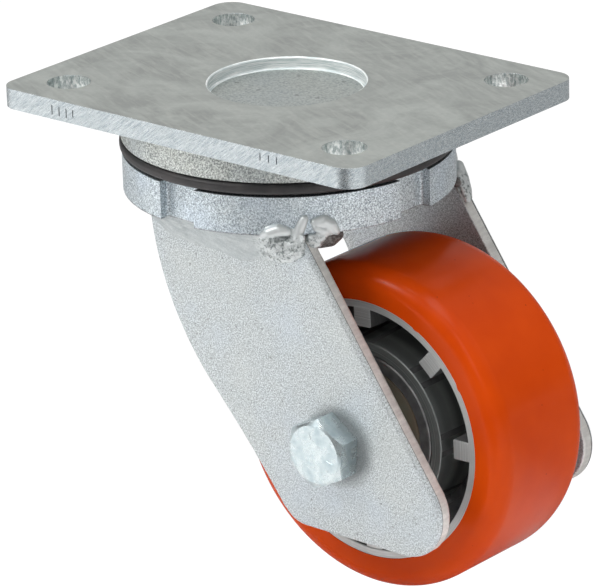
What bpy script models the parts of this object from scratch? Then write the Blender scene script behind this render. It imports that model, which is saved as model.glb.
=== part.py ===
"""Heavy-duty swivel castor with a bolt-on top plate, for a gate or a trolley.

Metres, +Z up. The origin is the centre of the top plate's top face, on the swivel axis.
X runs along the plate's long side and the wheel trails towards +X. Y runs along the axle.
"left" is the -Y side and "right" is the +Y side.
"""

import math

import bmesh
import bpy
from mathutils import Vector

MM = 0.001
GAP = 0.3 * MM  # clearance left between pieces that touch

# Sides of the faceted round pieces, by size
LARGE_STEPS = 48
MEDIUM_STEPS = 32
SMALL_STEPS = 24

# Top plate, with the round boss forged under it
PLATE_LENGTH = 135 * MM
PLATE_WIDTH = 105 * MM
PLATE_THICKNESS = 6.2 * MM
PLATE_CORNER = 6.5 * MM
PLATE_EDGE = 0.9 * MM
HOLE_SPACING_X = 105 * MM
HOLE_SPACING_Y = 75 * MM
HOLE_RADIUS = 6.5 * MM
RECESS_RADIUS = 23.4 * MM
RECESS_DEPTH = 3.8 * MM
BOSS_RADIUS = 49.6 * MM
BOSS_FLARE = 2.2 * MM
BOSS_BOTTOM = -14.8 * MM

# Swivel head: seal, notched crown ring, ball races and kingpin
SEAL_RADIUS = 50.1 * MM
SEAL_INNER = 44.6 * MM
SEAL_THICKNESS = 3.4 * MM
CROWN_RADIUS = 49.4 * MM
CROWN_TOP = -19.1 * MM
CROWN_BOTTOM = -30.7 * MM
CROWN_HUB_RADIUS = 25 * MM
CROWN_HUB_BOTTOM = -40.5 * MM
CROWN_EDGE = 0.6 * MM
NOTCH_WIDTH = 13 * MM
NOTCH_DEPTH = 3.8 * MM
NOTCH_TURN = -1.85  # degrees that the notches stand off the axes
RACE_INNER = 30.5 * MM
RACE_OUTER = 41.5 * MM
RACE_THICKNESS = 4.5 * MM
UPPER_BALL_PITCH = 36 * MM
UPPER_BALL_Z = -17 * MM
UPPER_BALL_RADIUS = 4.2 * MM
UPPER_BALL_COUNT = 16
LOWER_BALL_PITCH = 17 * MM
LOWER_BALL_Z = -36.4 * MM
LOWER_BALL_RADIUS = 2.9 * MM
LOWER_BALL_COUNT = 10
RACE_CLEARANCE = 0.5 * MM  # between a ball and its groove
KINGPIN_RADIUS = 10 * MM
KINGPIN_TOP = -7 * MM
KINGPIN_THREAD = 9.4 * MM
KINGPIN_BOTTOM = -48.4 * MM
KINGPIN_NUT_RADIUS = 13.3 * MM
KINGPIN_NUT_TOP = -40 * MM
KINGPIN_NUT_BOTTOM = -49.3 * MM
KINGPIN_NUT_EDGE = 1.2 * MM
CUP_RADIUS = 21.7 * MM
CUP_LIP = 14.2 * MM  # radius of the cup's upper lip
POCKET_ROOF = 0.5 * MM  # from the crown's underside up to the cup's pocket
GREASE_DEPTH = 2.9 * MM  # of the crown's top inside the upper race
UPPER_CAGE = (MM, 0.5 * MM)  # half width and half height
LOWER_CAGE = (0.5 * MM, 0.5 * MM)

# Fork legs: flat plates, welded under the crown ring
LEG_INNER = 32 * MM  # from the middle plane to the leg's inner face
LEG_THICKNESS = 5 * MM
LEG_OUTER = LEG_INNER + LEG_THICKNESS
LEG_TOP = CROWN_BOTTOM - GAP
LEG_EDGE = 0.6 * MM
REAR_ARC_CENTRE = (65.2 * MM, -25.3 * MM)  # (x, z)
REAR_ARC_RADIUS = 89 * MM
REAR_ARC_END = 222  # degrees: where the left leg's rear arc turns hollow
REAR_HOLLOW = 400 * MM
REAR_SLOPES = {"left": 216, "right": 209.7}  # degrees: outward normal of the rear edge at the heel
HEEL_CENTRE = (33 * MM, -112.1 * MM)
HEEL_RADIUS = 9 * MM
TOE_CENTRE = (69.9 * MM, -107.5 * MM)
TOE_RADIUS = 14 * MM
FRONT_SLOPE = 34.3  # degrees: outward normal of the straight front edge

# Welds between the legs and the crown ring
WELD_REAR = -22 * MM
WELD_FRONT = 36 * MM
WELD_HEIGHT = 11.5 * MM
WELD_STEPS = 16
WELD_LEAST_REACH = 1.6 * MM
WELD_ARCH = (0.12, 0.92)  # the part of a half wave that the weld's lower edge follows
WELD_SWELL = (0.22, 0.88, 0.12)  # height, place and width of the swelling along the weld
WELD_HOLLOW = 0.28  # depth of the fillet's hollow face
INNER_WELD_SIZE = 3.6 * MM

# Axle, across the fork through the wheel's centre
AXLE_X = 44.1 * MM
AXLE_Z = -93.3 * MM
BOLT_RADIUS = 6 * MM
HEX_ACROSS_FLATS = 19 * MM
HEX_FACE = 0.47  # radius of a hexagon's flat end, as a part of its width across flats
HEX_CLEAR = 1.06  # radius of the turning cone, as a part of the corner radius
BOLT_HEAD_HEIGHT = 7.6 * MM
NUT_HEIGHT = 10 * MM
NUT_COLLAR_HEIGHT = 2.2 * MM
NUT_COLLAR_RADIUS = 8.2 * MM
NUT_COLLAR_EDGE = 0.8 * MM
BOLT_END = 50.3 * MM
BOLT_TURN = 26  # degrees that the hexagon's corners stand above +X
TUBE_RADIUS = 10 * MM
SPACER_RADIUS = 13.6 * MM

# Wheel: orange tyre on a cast core, with two ball bearings
WHEEL_RADIUS = 50 * MM
TYRE_HALF_WIDTH = 20.5 * MM
SHOULDER_RADIUS = 6 * MM
CORE_RADIUS = 40 * MM
CORE_HALF_WIDTH = 20.4 * MM
RIM_INNER = 37.5 * MM
RIM_ROOT = 36.6 * MM
HUB_RADIUS = 27.4 * MM
HUB_ROOT = 28.2 * MM
WEB_HALF = 3.5 * MM
RIB_COUNT = 8
RIB_WIDTH = 6 * MM
RIB_BLOCK = 5.8 * MM  # radial length of a rib's full-height end at the rim
RIB_STEP = 13 * MM  # height of a rib's lower part above the middle plane
RIB_DIP = 2 * MM  # how much lower a rib is at the hub than at its block

# Ball bearing 20 x 47 x 14
BEARING_OUTER = 23.5 * MM
BEARING_HALF = 7 * MM
BEARING_CENTRE = CORE_HALF_WIDTH - BEARING_HALF
RACE_SHOULDER_OUT = 19.6 * MM
RACE_SHOULDER_IN = 14.1 * MM
BEARING_PITCH = 16.85 * MM
BEARING_BALL = 3.6 * MM
BEARING_BALL_COUNT = 8
BEARING_CAGE = (0.9 * MM, 0.9 * MM)
SHIELD_THICKNESS = 0.6 * MM
SHIELD_DEPTH = 0.2 * MM  # behind the bearing's side

SIDES = (("left", -1), ("right", 1))


def clear_scene():
    """Remove whatever the file opened with."""
    for obj in list(bpy.data.objects):
        bpy.data.objects.remove(obj)


def material(name, colour, roughness, metallic):
    """A Principled material with one colour."""
    mat = bpy.data.materials.new(name)
    mat.use_nodes = True
    shader = mat.node_tree.nodes["Principled BSDF"]
    shader.inputs["Base Color"].default_value = (*colour, 1)
    shader.inputs["Roughness"].default_value = roughness
    shader.inputs["Metallic"].default_value = metallic
    mat.diffuse_color = (*colour, 1)
    return mat


def new_object(name, mesh, group):
    """An object for a mesh, in a collection."""
    obj = bpy.data.objects.new(name, mesh)
    group.objects.link(obj)
    return obj


def place(obj, parent=None, location=(0, 0, 0), rotation=(0, 0, 0)):
    """Put an object under its parent, at a place in the parent's frame."""
    obj.parent = parent
    obj.location = location
    obj.rotation_euler = rotation
    bpy.context.view_layer.update()
    return obj


def settle(obj):
    """Keep an object's evaluated mesh and drop its modifiers."""
    depsgraph = bpy.context.evaluated_depsgraph_get()
    obj.data = bpy.data.meshes.new_from_object(obj.evaluated_get(depsgraph))
    obj.modifiers.clear()
    return obj


def finish(obj, mat, sharp_angle=32):
    """Give an object its material, and shade it smooth except over its real edges."""
    obj.data.materials.clear()
    obj.data.materials.append(mat)
    obj.data.shade_smooth()
    obj.data.set_sharp_from_angle(angle=math.radians(sharp_angle))
    return obj


def combine(obj, other, operation):
    """Join an object with another one, or cut it by that one, which is then gone."""
    other.hide_render = True
    other.display_type = "WIRE"
    boolean = obj.modifiers.new(operation.title(), "BOOLEAN")
    boolean.operation = operation
    boolean.solver = "EXACT"
    boolean.object = other
    bpy.context.view_layer.update()
    settle(obj)
    bpy.data.objects.remove(other)
    return obj


def soften(obj, width, angle=50):
    """Round an object's sharp edges with one bevel segment."""
    bevel = obj.modifiers.new("Edges", "BEVEL")
    bevel.width = width
    bevel.segments = 1
    bevel.limit_method = "ANGLE"
    bevel.angle_limit = math.radians(angle)
    return settle(obj)


def arc(centre, radius, start, end, steps):
    """Points on an arc from one angle to another, in degrees, both ends included."""
    points = []
    for i in range(steps + 1):
        angle = math.radians(start + (end - start) * i / steps)
        points.append((centre[0] + radius * math.cos(angle), centre[1] + radius * math.sin(angle)))
    return points


def turned(name, profile, group, steps=LARGE_STEPS):
    """A shape turned about Z, from (radius, z) points listed down its outer side.

    A profile that starts on the axis ends there too, and any other one is a closed loop.
    """
    count = len(profile)
    edges = [(i, i + 1) for i in range(count - 1)]
    if profile[0][0] > 0:
        edges.append((count - 1, 0))
    mesh = bpy.data.meshes.new(name)
    mesh.from_pydata([(radius, 0, z) for radius, z in profile], edges, [])
    obj = new_object(name, mesh, group)
    screw = obj.modifiers.new("Turn", "SCREW")
    screw.axis = "Z"
    screw.angle = math.tau
    screw.steps = screw.render_steps = steps
    screw.use_merge_vertices = True
    screw.merge_threshold = 0.01 * MM
    return settle(obj)


def flat_plate(name, outlines, thickness, group):
    """A plate of even thickness about the XY plane, from an outline and the outlines of its holes."""
    curve = bpy.data.curves.new(name, "CURVE")
    curve.dimensions = "2D"
    curve.fill_mode = "BOTH"
    curve.extrude = thickness / 2
    for outline in outlines:
        spline = curve.splines.new("POLY")
        spline.points.add(len(outline) - 1)
        for point, (x, y) in zip(spline.points, outline):
            point.co = (x, y, 0, 1)
        spline.use_cyclic_u = True
    source = new_object(name + "_outline", curve, group)
    depsgraph = bpy.context.evaluated_depsgraph_get()
    mesh = bpy.data.meshes.new_from_object(source.evaluated_get(depsgraph))
    bpy.data.objects.remove(source)
    shape = bmesh.new()
    shape.from_mesh(mesh)
    bmesh.ops.remove_doubles(shape, verts=shape.verts, dist=0.001 * MM)
    bmesh.ops.recalc_face_normals(shape, faces=shape.faces)
    shape.to_mesh(mesh)
    shape.free()
    return new_object(name, mesh, group)


def box(name, low, high, group):
    """A box between two corners."""
    shape = bmesh.new()
    bmesh.ops.create_cube(shape, size=1)
    size = Vector(high) - Vector(low)
    bmesh.ops.scale(shape, vec=size, verts=shape.verts)
    bmesh.ops.translate(shape, vec=(Vector(low) + Vector(high)) / 2, verts=shape.verts)
    mesh = bpy.data.meshes.new(name)
    shape.to_mesh(mesh)
    shape.free()
    return new_object(name, mesh, group)


def loft(name, sections, group):
    """A closed solid through sections that have the same number of points each."""
    shape = bmesh.new()
    rings = [[shape.verts.new(point) for point in section] for section in sections]
    for ring, following in zip(rings, rings[1:]):
        for i in range(len(ring)):
            j = (i + 1) % len(ring)
            shape.faces.new((ring[i], ring[j], following[j], following[i]))
    shape.faces.new(rings[0])
    shape.faces.new(rings[-1])
    bmesh.ops.recalc_face_normals(shape, faces=shape.faces)
    mesh = bpy.data.meshes.new(name)
    shape.to_mesh(mesh)
    shape.free()
    return new_object(name, mesh, group)


def ball_set(name, count, pitch, ball, cage, group):
    """A ring of balls at z = 0, held by a flat cage ring that runs through them."""
    half_width, top = cage
    low, high, bottom = pitch - half_width, pitch + half_width, -top
    profile = [(high, top), (high, bottom), (low, bottom), (low, top)]
    ring = turned(name, profile, group, steps=2 * count)
    shape = bmesh.new()
    for i in range(count):
        angle = math.tau * i / count
        made = bmesh.ops.create_uvsphere(shape, u_segments=8, v_segments=4, radius=ball)
        centre = (pitch * math.cos(angle), pitch * math.sin(angle), 0)
        bmesh.ops.translate(shape, vec=centre, verts=made["verts"])
    mesh = bpy.data.meshes.new(name + "_balls")
    shape.to_mesh(mesh)
    shape.free()
    return combine(ring, new_object(name + "_balls", mesh, group), "UNION")


def hexagon(name, across_flats, low, high, group, chamfer_low=True, chamfer_high=True):
    """A hexagonal prism along Z whose end corners are turned off at 30 degrees."""
    corner = across_flats / math.sqrt(3)
    prism = bmesh.new()
    bmesh.ops.create_cone(
        prism, cap_ends=True, segments=6, radius1=corner, radius2=corner, depth=high - low
    )
    bmesh.ops.translate(prism, vec=(0, 0, (low + high) / 2), verts=prism.verts)
    mesh = bpy.data.meshes.new(name)
    prism.to_mesh(mesh)
    prism.free()
    obj = new_object(name, mesh, group)
    wide = corner * HEX_CLEAR
    face = across_flats * HEX_FACE
    slope = (wide - face) * math.tan(math.radians(30))
    profile = [(0, high)]
    profile += [(face, high), (wide, high - slope)] if chamfer_high else [(wide, high + MM)]
    profile += [(wide, low + slope), (face, low)] if chamfer_low else [(wide, low - MM)]
    profile.append((0, low if chamfer_low else low - MM))
    if not chamfer_high:
        profile[0] = (0, high + MM)
    return combine(obj, turned(name + "_cone", profile, group, steps=SMALL_STEPS), "INTERSECT")


def rounded_rectangle(length, width, radius, steps):
    """The outline of a rectangle with round corners, about the origin."""
    outline = []
    for quarter, (side_x, side_y) in enumerate(((1, 1), (-1, 1), (-1, -1), (1, -1))):
        centre = (side_x * (length / 2 - radius), side_y * (width / 2 - radius))
        outline += arc(centre, radius, 90 * quarter, 90 * quarter + 90, steps)
    return outline


def top_plate(group, mat):
    """The bolt-on plate with its four holes, its central recess and the boss under it."""
    outlines = [rounded_rectangle(PLATE_LENGTH, PLATE_WIDTH, PLATE_CORNER, 6)]
    for side_x in (-1, 1):
        for side_y in (-1, 1):
            centre = (side_x * HOLE_SPACING_X / 2, side_y * HOLE_SPACING_Y / 2)
            outlines.append(arc(centre, HOLE_RADIUS, 0, 360, SMALL_STEPS)[:-1])
    plate = flat_plate("top_plate", outlines, PLATE_THICKNESS, group)
    soften(plate, PLATE_EDGE)
    place(plate, location=(0, 0, -PLATE_THICKNESS / 2))
    middle = -PLATE_THICKNESS * 0.7
    flare_end = -PLATE_THICKNESS - BOSS_FLARE
    bore = KINGPIN_RADIUS + GAP
    boss = [(0, middle), (BOSS_RADIUS + BOSS_FLARE, middle)]
    boss += arc((BOSS_RADIUS + BOSS_FLARE, flare_end), BOSS_FLARE, 90, 180, 3)
    boss += [
        (BOSS_RADIUS, BOSS_BOTTOM),
        (RACE_OUTER + GAP, BOSS_BOTTOM),
        (RACE_OUTER + GAP, BOSS_BOTTOM + RACE_THICKNESS + GAP),
        (RACE_INNER - GAP, BOSS_BOTTOM + RACE_THICKNESS + GAP),
        (RACE_INNER - GAP, BOSS_BOTTOM),
        (bore, BOSS_BOTTOM),
        (bore, KINGPIN_TOP + GAP),
        (0, KINGPIN_TOP + GAP),
    ]
    combine(plate, turned("boss", boss, group), "UNION")
    recess = [
        (0, MM),
        (RECESS_RADIUS + 2 * MM, MM),
        (RECESS_RADIUS, -MM),
        (RECESS_RADIUS, -RECESS_DEPTH),
        (0, -RECESS_DEPTH),
    ]
    combine(plate, turned("recess", recess, group), "DIFFERENCE")
    return finish(plate, mat)


def swivel_race(name, top, bottom, group, mat):
    """A flat hardened ring with the upper balls' groove in it."""
    groove = UPPER_BALL_RADIUS + RACE_CLEARANCE
    centre = (UPPER_BALL_PITCH, UPPER_BALL_Z)
    outer, inner = (RACE_OUTER, RACE_INNER)
    if UPPER_BALL_Z < bottom:
        angle = math.degrees(math.asin((bottom - UPPER_BALL_Z) / groove))
        cut = arc(centre, groove, angle, 180 - angle, 4)
        profile = [(outer, top), (outer, bottom), *cut, (inner, bottom), (inner, top)]
    else:
        angle = math.degrees(math.asin((UPPER_BALL_Z - top) / groove))
        cut = arc(centre, groove, 180 + angle, 360 - angle, 4)
        profile = [(outer, top), (outer, bottom), (inner, bottom), (inner, top), *cut]
    return finish(turned(name, profile, group, steps=MEDIUM_STEPS), mat)


def swivel_seal(group, mat):
    """The black rubber ring between the boss and the crown, with a rounded outer edge."""
    top = BOSS_BOTTOM - GAP
    bottom = top - SEAL_THICKNESS
    radius = SEAL_THICKNESS / 2
    edge = arc((SEAL_RADIUS - radius, top - radius), radius, 60, -60, 4)
    profile = [(SEAL_INNER, top), *edge, (SEAL_INNER, bottom)]
    return finish(turned("swivel_seal", profile, group), mat)


def kingpin(group, mat):
    """The pin pressed up into the boss, threaded at its lower end."""
    shoulder = KINGPIN_NUT_TOP + GAP
    profile = [
        (0, KINGPIN_TOP),
        (KINGPIN_RADIUS, KINGPIN_TOP),
        (KINGPIN_RADIUS, shoulder),
        (KINGPIN_THREAD, shoulder),
        (KINGPIN_THREAD, KINGPIN_BOTTOM + MM),
        (KINGPIN_THREAD - MM, KINGPIN_BOTTOM),
        (0, KINGPIN_BOTTOM),
    ]
    return finish(turned("kingpin", profile, group, steps=SMALL_STEPS), mat)


def kingpin_nut(group, mat):
    """The round nut that holds the swivel head together."""
    bore = KINGPIN_THREAD + GAP
    profile = [
        (KINGPIN_NUT_RADIUS, KINGPIN_NUT_TOP),
        (KINGPIN_NUT_RADIUS, KINGPIN_NUT_BOTTOM + KINGPIN_NUT_EDGE),
        (KINGPIN_NUT_RADIUS - KINGPIN_NUT_EDGE, KINGPIN_NUT_BOTTOM),
        (bore, KINGPIN_NUT_BOTTOM),
        (bore, KINGPIN_NUT_TOP),
    ]
    return finish(turned("kingpin_nut", profile, group, steps=SMALL_STEPS), mat)


def swivel_cone(group, mat):
    """The lower race on the kingpin, resting on its nut."""
    bore = KINGPIN_RADIUS + GAP
    top = LOWER_BALL_Z + LOWER_BALL_RADIUS
    bottom = KINGPIN_NUT_TOP + GAP
    groove = arc((LOWER_BALL_PITCH, LOWER_BALL_Z), LOWER_BALL_RADIUS + RACE_CLEARANCE, 150, 246, 4)
    profile = [(groove[0][0], top), *groove, (groove[-1][0], bottom), (bore, bottom), (bore, top)]
    return finish(turned("swivel_cone_lower", profile, group, steps=SMALL_STEPS), mat)


def swivel_cup(group, mat):
    """The lower race pressed up into the crown's hub."""
    top = CROWN_BOTTOM - POCKET_ROOF - GAP
    bottom = CROWN_HUB_BOTTOM + GAP
    groove = arc((LOWER_BALL_PITCH, LOWER_BALL_Z), LOWER_BALL_RADIUS + RACE_CLEARANCE, -38, 100, 5)
    profile = [(CUP_RADIUS, top), (CUP_RADIUS, bottom), (groove[0][0], bottom), *groove]
    profile += [(CUP_LIP, groove[-1][1]), (CUP_LIP, top)]
    return finish(turned("swivel_cup_lower", profile, group, steps=SMALL_STEPS), mat)


def fork_crown(group, mat):
    """The notched ring that carries the legs, with the pockets for both ball races."""
    pocket = CUP_RADIUS + GAP
    roof = CROWN_BOTTOM - POCKET_ROOF
    bore = KINGPIN_RADIUS + 1.2 * MM
    grease = CROWN_TOP - GREASE_DEPTH
    floor = CROWN_TOP - GAP - RACE_THICKNESS - GAP
    profile = [
        (CROWN_RADIUS - CROWN_EDGE, CROWN_TOP),
        (CROWN_RADIUS, CROWN_TOP - CROWN_EDGE),
        (CROWN_RADIUS, CROWN_BOTTOM + CROWN_EDGE),
        (CROWN_RADIUS - CROWN_EDGE, CROWN_BOTTOM),
        (CROWN_HUB_RADIUS, CROWN_BOTTOM),
        (CROWN_HUB_RADIUS, CROWN_HUB_BOTTOM),
        (pocket, CROWN_HUB_BOTTOM),
        (pocket, roof),
        (bore, roof),
        (bore, grease),
        (RACE_INNER - GAP, grease),
        (RACE_INNER - GAP, floor),
        (RACE_OUTER + GAP, floor),
        (RACE_OUTER + GAP, CROWN_TOP),
    ]
    crown = turned("fork_crown", profile, group)
    for quarter in range(4):
        low = (CROWN_RADIUS - NOTCH_DEPTH, -NOTCH_WIDTH / 2, CROWN_BOTTOM - MM)
        high = (CROWN_RADIUS + MM, NOTCH_WIDTH / 2, CROWN_TOP + MM)
        notch = box("notch", low, high, group)
        place(notch, rotation=(0, 0, math.radians(90 * quarter + NOTCH_TURN)))
        combine(crown, notch, "DIFFERENCE")
    return finish(crown, mat)


def leg_outline(side_name):
    """A leg's outline in (x, z), anticlockwise from the rear top corner.

    The left leg's rear edge bulges and then turns hollow. The right leg's is straight.
    """
    centre_x, centre_z = REAR_ARC_CENTRE
    slope = REAR_SLOPES[side_name]
    top_angle = 180 + math.degrees(math.asin((centre_z - LEG_TOP) / REAR_ARC_RADIUS))
    outline = arc(REAR_ARC_CENTRE, REAR_ARC_RADIUS, top_angle, REAR_ARC_END, 10)
    if side_name == "left":
        end, reach = math.radians(REAR_ARC_END), REAR_ARC_RADIUS + REAR_HOLLOW
        hollow = (centre_x + reach * math.cos(end), centre_z + reach * math.sin(end))
        outline += arc(hollow, REAR_HOLLOW, REAR_ARC_END - 180, slope - 180, 3)[1:]
    else:
        outline = outline[:1]
    outline += arc(HEEL_CENTRE, HEEL_RADIUS, slope, 270, 6)
    outline += arc(TOE_CENTRE, TOE_RADIUS, 270, 360 + FRONT_SLOPE, 14)
    x, z = outline[-1]
    outline.append((x - (LEG_TOP - z) * math.tan(math.radians(FRONT_SLOPE)), LEG_TOP))
    return outline


def fork_leg(side_name, side, group, parent, mat):
    """One flat leg of the fork, with the axle bolt's hole."""
    hole = arc((AXLE_X, AXLE_Z), BOLT_RADIUS + GAP, 0, 360, SMALL_STEPS)[:-1]
    outline = leg_outline(side_name)
    leg = flat_plate("fork_leg_" + side_name, [outline, hole], LEG_THICKNESS, group)
    soften(leg, LEG_EDGE)
    middle = side * (LEG_INNER + LEG_OUTER) / 2
    place(leg, parent, location=(0, middle, 0), rotation=(math.radians(90), 0, 0))
    return finish(leg, mat)


def outer_weld(side_name, side, group, parent, mat):
    """The fillet weld in the corner between the crown's underside and a leg's outer face.

    Its lower edge bows down over the leg, and it swells where the weld ends at the front corner.
    """
    root_y = LEG_OUTER + GAP
    top_z = CROWN_BOTTOM - GAP
    sections = []
    for i in range(WELD_STEPS + 1):
        t = i / WELD_STEPS
        x = WELD_REAR + (WELD_FRONT - WELD_REAR) * t
        chord = math.sqrt((CROWN_RADIUS - CROWN_EDGE) ** 2 - x * x)
        reach = max(chord - root_y, WELD_LEAST_REACH)
        start, end = WELD_ARCH
        drop = MM + WELD_HEIGHT * math.sin(math.pi * (start + (end - start) * t))
        height, at, width = WELD_SWELL
        swell = height * math.exp(-(((t - at) / width) ** 2))
        section = [(x, side * root_y, top_z)]
        for s in (0, 0.25, 0.5, 0.75, 1):
            hollow = math.sin(math.pi * s) * (WELD_HOLLOW - swell)
            out = reach * (1 - s) * (1 - hollow)
            down = drop * s * (1 - hollow) + GAP
            section.append((x, side * (root_y + out), top_z - down))
        sections.append(section)
    weld = loft("weld_outer_" + side_name, sections, group)
    place(weld, parent)
    return finish(weld, mat, 60)


def inner_weld(side_name, side, group, parent, mat):
    """The fillet weld along the inner face of a leg."""
    top_z = CROWN_BOTTOM - GAP
    root_y = LEG_INNER - GAP
    sections = []
    for x in (WELD_REAR, 0.3 * WELD_REAR, 0.4 * WELD_FRONT, 0.85 * WELD_FRONT):
        sections.append(
            [
                (x, side * root_y, top_z),
                (x, side * (root_y - INNER_WELD_SIZE), top_z),
                (x, side * (root_y - 0.6 * INNER_WELD_SIZE), top_z - 0.6 * INNER_WELD_SIZE),
                (x, side * root_y, top_z - INNER_WELD_SIZE),
            ]
        )
    weld = loft("weld_inner_" + side_name, sections, group)
    place(weld, parent)
    return finish(weld, mat, 60)


def axle_bolt(group, parent, mat):
    """The hexagon bolt through both legs, its head on the left."""
    head_low = -(LEG_OUTER + GAP + BOLT_HEAD_HEIGHT)
    head_high = -(LEG_OUTER + GAP)
    bolt = hexagon("axle_bolt", HEX_ACROSS_FLATS, head_low, head_high, group, chamfer_high=False)
    shank = [
        (0, BOLT_END),
        (BOLT_RADIUS - MM, BOLT_END),
        (BOLT_RADIUS, BOLT_END - MM),
        (BOLT_RADIUS, head_high - MM),
        (0, head_high - MM),
    ]
    combine(bolt, turned("shank", shank, group, steps=SMALL_STEPS), "UNION")
    place(bolt, parent, rotation=(0, 0, math.radians(-BOLT_TURN)))
    return finish(bolt, mat)


def axle_nut(group, parent, mat):
    """The lock nut on the bolt's right end, with the round collar of its locking ring."""
    low = LEG_OUTER + GAP
    high = low + NUT_HEIGHT
    nut = hexagon("axle_nut", HEX_ACROSS_FLATS, low, high, group)
    top = high + NUT_COLLAR_HEIGHT
    collar = [
        (0, top),
        (NUT_COLLAR_RADIUS - NUT_COLLAR_EDGE, top),
        (NUT_COLLAR_RADIUS, top - NUT_COLLAR_EDGE),
        (NUT_COLLAR_RADIUS, high - MM),
        (0, high - MM),
    ]
    combine(nut, turned("collar", collar, group, steps=SMALL_STEPS), "UNION")
    bore = BOLT_RADIUS + GAP
    hole = [(0, top + MM), (bore, top + MM), (bore, low - MM), (0, low - MM)]
    combine(nut, turned("bore", hole, group, steps=SMALL_STEPS), "DIFFERENCE")
    place(nut, parent, rotation=(0, 0, math.radians(-BOLT_TURN)))
    return finish(nut, mat)


def sleeve(name, inner, outer, low, high, group, parent, mat):
    """A plain round tube along the axle."""
    profile = [(outer, high), (outer, low), (inner, low), (inner, high)]
    tube = turned(name, profile, group, steps=SMALL_STEPS)
    place(tube, parent)
    return finish(tube, mat)


def tyre(group, parent, mat):
    """The polyurethane tread, with round shoulders."""
    side = WHEEL_RADIUS - SHOULDER_RADIUS
    face = TYRE_HALF_WIDTH - SHOULDER_RADIUS
    inner = CORE_RADIUS + GAP
    profile = arc((side, face), SHOULDER_RADIUS, 90, 0, 4)
    profile += arc((side, -face), SHOULDER_RADIUS, 0, -90, 4)
    profile += [(inner, -TYRE_HALF_WIDTH), (inner, TYRE_HALF_WIDTH)]
    tread = turned("tyre", profile, group)
    place(tread, parent)
    return finish(tread, mat)


def wheel_core(group, parent, mat):
    """The cast core: hub, web and rim in one, with ribs on both sides of the web."""
    seat = BEARING_OUTER + GAP
    seat_end = BEARING_CENTRE - BEARING_HALF - GAP
    shoulder = RACE_SHOULDER_OUT + MM
    half = [
        (CORE_RADIUS, CORE_HALF_WIDTH),
        (RIM_INNER, CORE_HALF_WIDTH),
        (RIM_ROOT, WEB_HALF),
        (HUB_ROOT, WEB_HALF),
        (HUB_RADIUS, CORE_HALF_WIDTH),
        (seat, CORE_HALF_WIDTH),
        (seat, seat_end),
        (shoulder, seat_end),
    ]
    profile = [(radius, -z) for radius, z in half] + half[:0:-1] + [half[0]]
    core = turned("wheel_core", profile, group)
    rib = [
        (HUB_RADIUS - MM, WEB_HALF - MM),
        (RIM_INNER + MM, WEB_HALF - MM),
        (RIM_INNER + MM, CORE_HALF_WIDTH - 0.2 * MM),
        (RIM_INNER - RIB_BLOCK, CORE_HALF_WIDTH - 0.2 * MM),
        (RIM_INNER - RIB_BLOCK - 0.5 * MM, RIB_STEP),
        (HUB_RADIUS - MM, RIB_STEP - RIB_DIP),
    ]
    for face in (-1, 1):
        for i in range(RIB_COUNT):
            outline = [(radius, face * z) for radius, z in rib]
            blade = flat_plate("rib", [outline], RIB_WIDTH, group)
            turn = math.tau * i / RIB_COUNT
            place(blade, rotation=(math.radians(90), 0, turn))
            combine(core, blade, "UNION")
    place(core, parent)
    return finish(core, mat)


def bearing(side_name, side, group, axle, wheel, mats):
    """One deep-groove ball bearing: two rings, two shields and the caged balls."""
    groove = BEARING_BALL + RACE_CLEARANCE
    at = (0, 0, side * BEARING_CENTRE)
    centre = (BEARING_PITCH, 0)
    half = BEARING_HALF
    bore = TUBE_RADIUS + GAP

    lean = math.degrees(math.acos((RACE_SHOULDER_OUT - BEARING_PITCH) / groove))
    outer = [(BEARING_OUTER, half), (BEARING_OUTER, -half), (RACE_SHOULDER_OUT, -half)]
    outer += arc(centre, groove, -lean, lean, 3) + [(RACE_SHOULDER_OUT, half)]
    ring = turned("bearing_outer_" + side_name, outer, group, steps=SMALL_STEPS)
    finish(place(ring, wheel, at), mats["race"])

    lean = math.degrees(math.acos((BEARING_PITCH - RACE_SHOULDER_IN) / groove))
    inner = [(RACE_SHOULDER_IN, half), *arc(centre, groove, 180 - lean, 180 + lean, 3)]
    inner += [(RACE_SHOULDER_IN, -half), (bore, -half), (bore, half)]
    ring = turned("bearing_inner_" + side_name, inner, group, steps=SMALL_STEPS)
    finish(place(ring, axle, at), mats["race"])

    for face_name, face in (("out", side), ("in", -side)):
        low = face * (half - SHIELD_DEPTH)
        high = low - face * SHIELD_THICKNESS
        top, bottom = max(low, high), min(low, high)
        edge, rim = RACE_SHOULDER_IN + GAP, RACE_SHOULDER_OUT - GAP
        name = "bearing_shield_" + side_name + "_" + face_name
        profile = [(rim, top), (rim, bottom), (edge, bottom), (edge, top)]
        shield = turned(name, profile, group, steps=SMALL_STEPS)
        finish(place(shield, wheel, at), mats["shield"])

    name = "bearing_balls_" + side_name
    balls = ball_set(name, BEARING_BALL_COUNT, BEARING_PITCH, BEARING_BALL, BEARING_CAGE, group)
    finish(place(balls, axle, at), mats["ball"])


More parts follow.
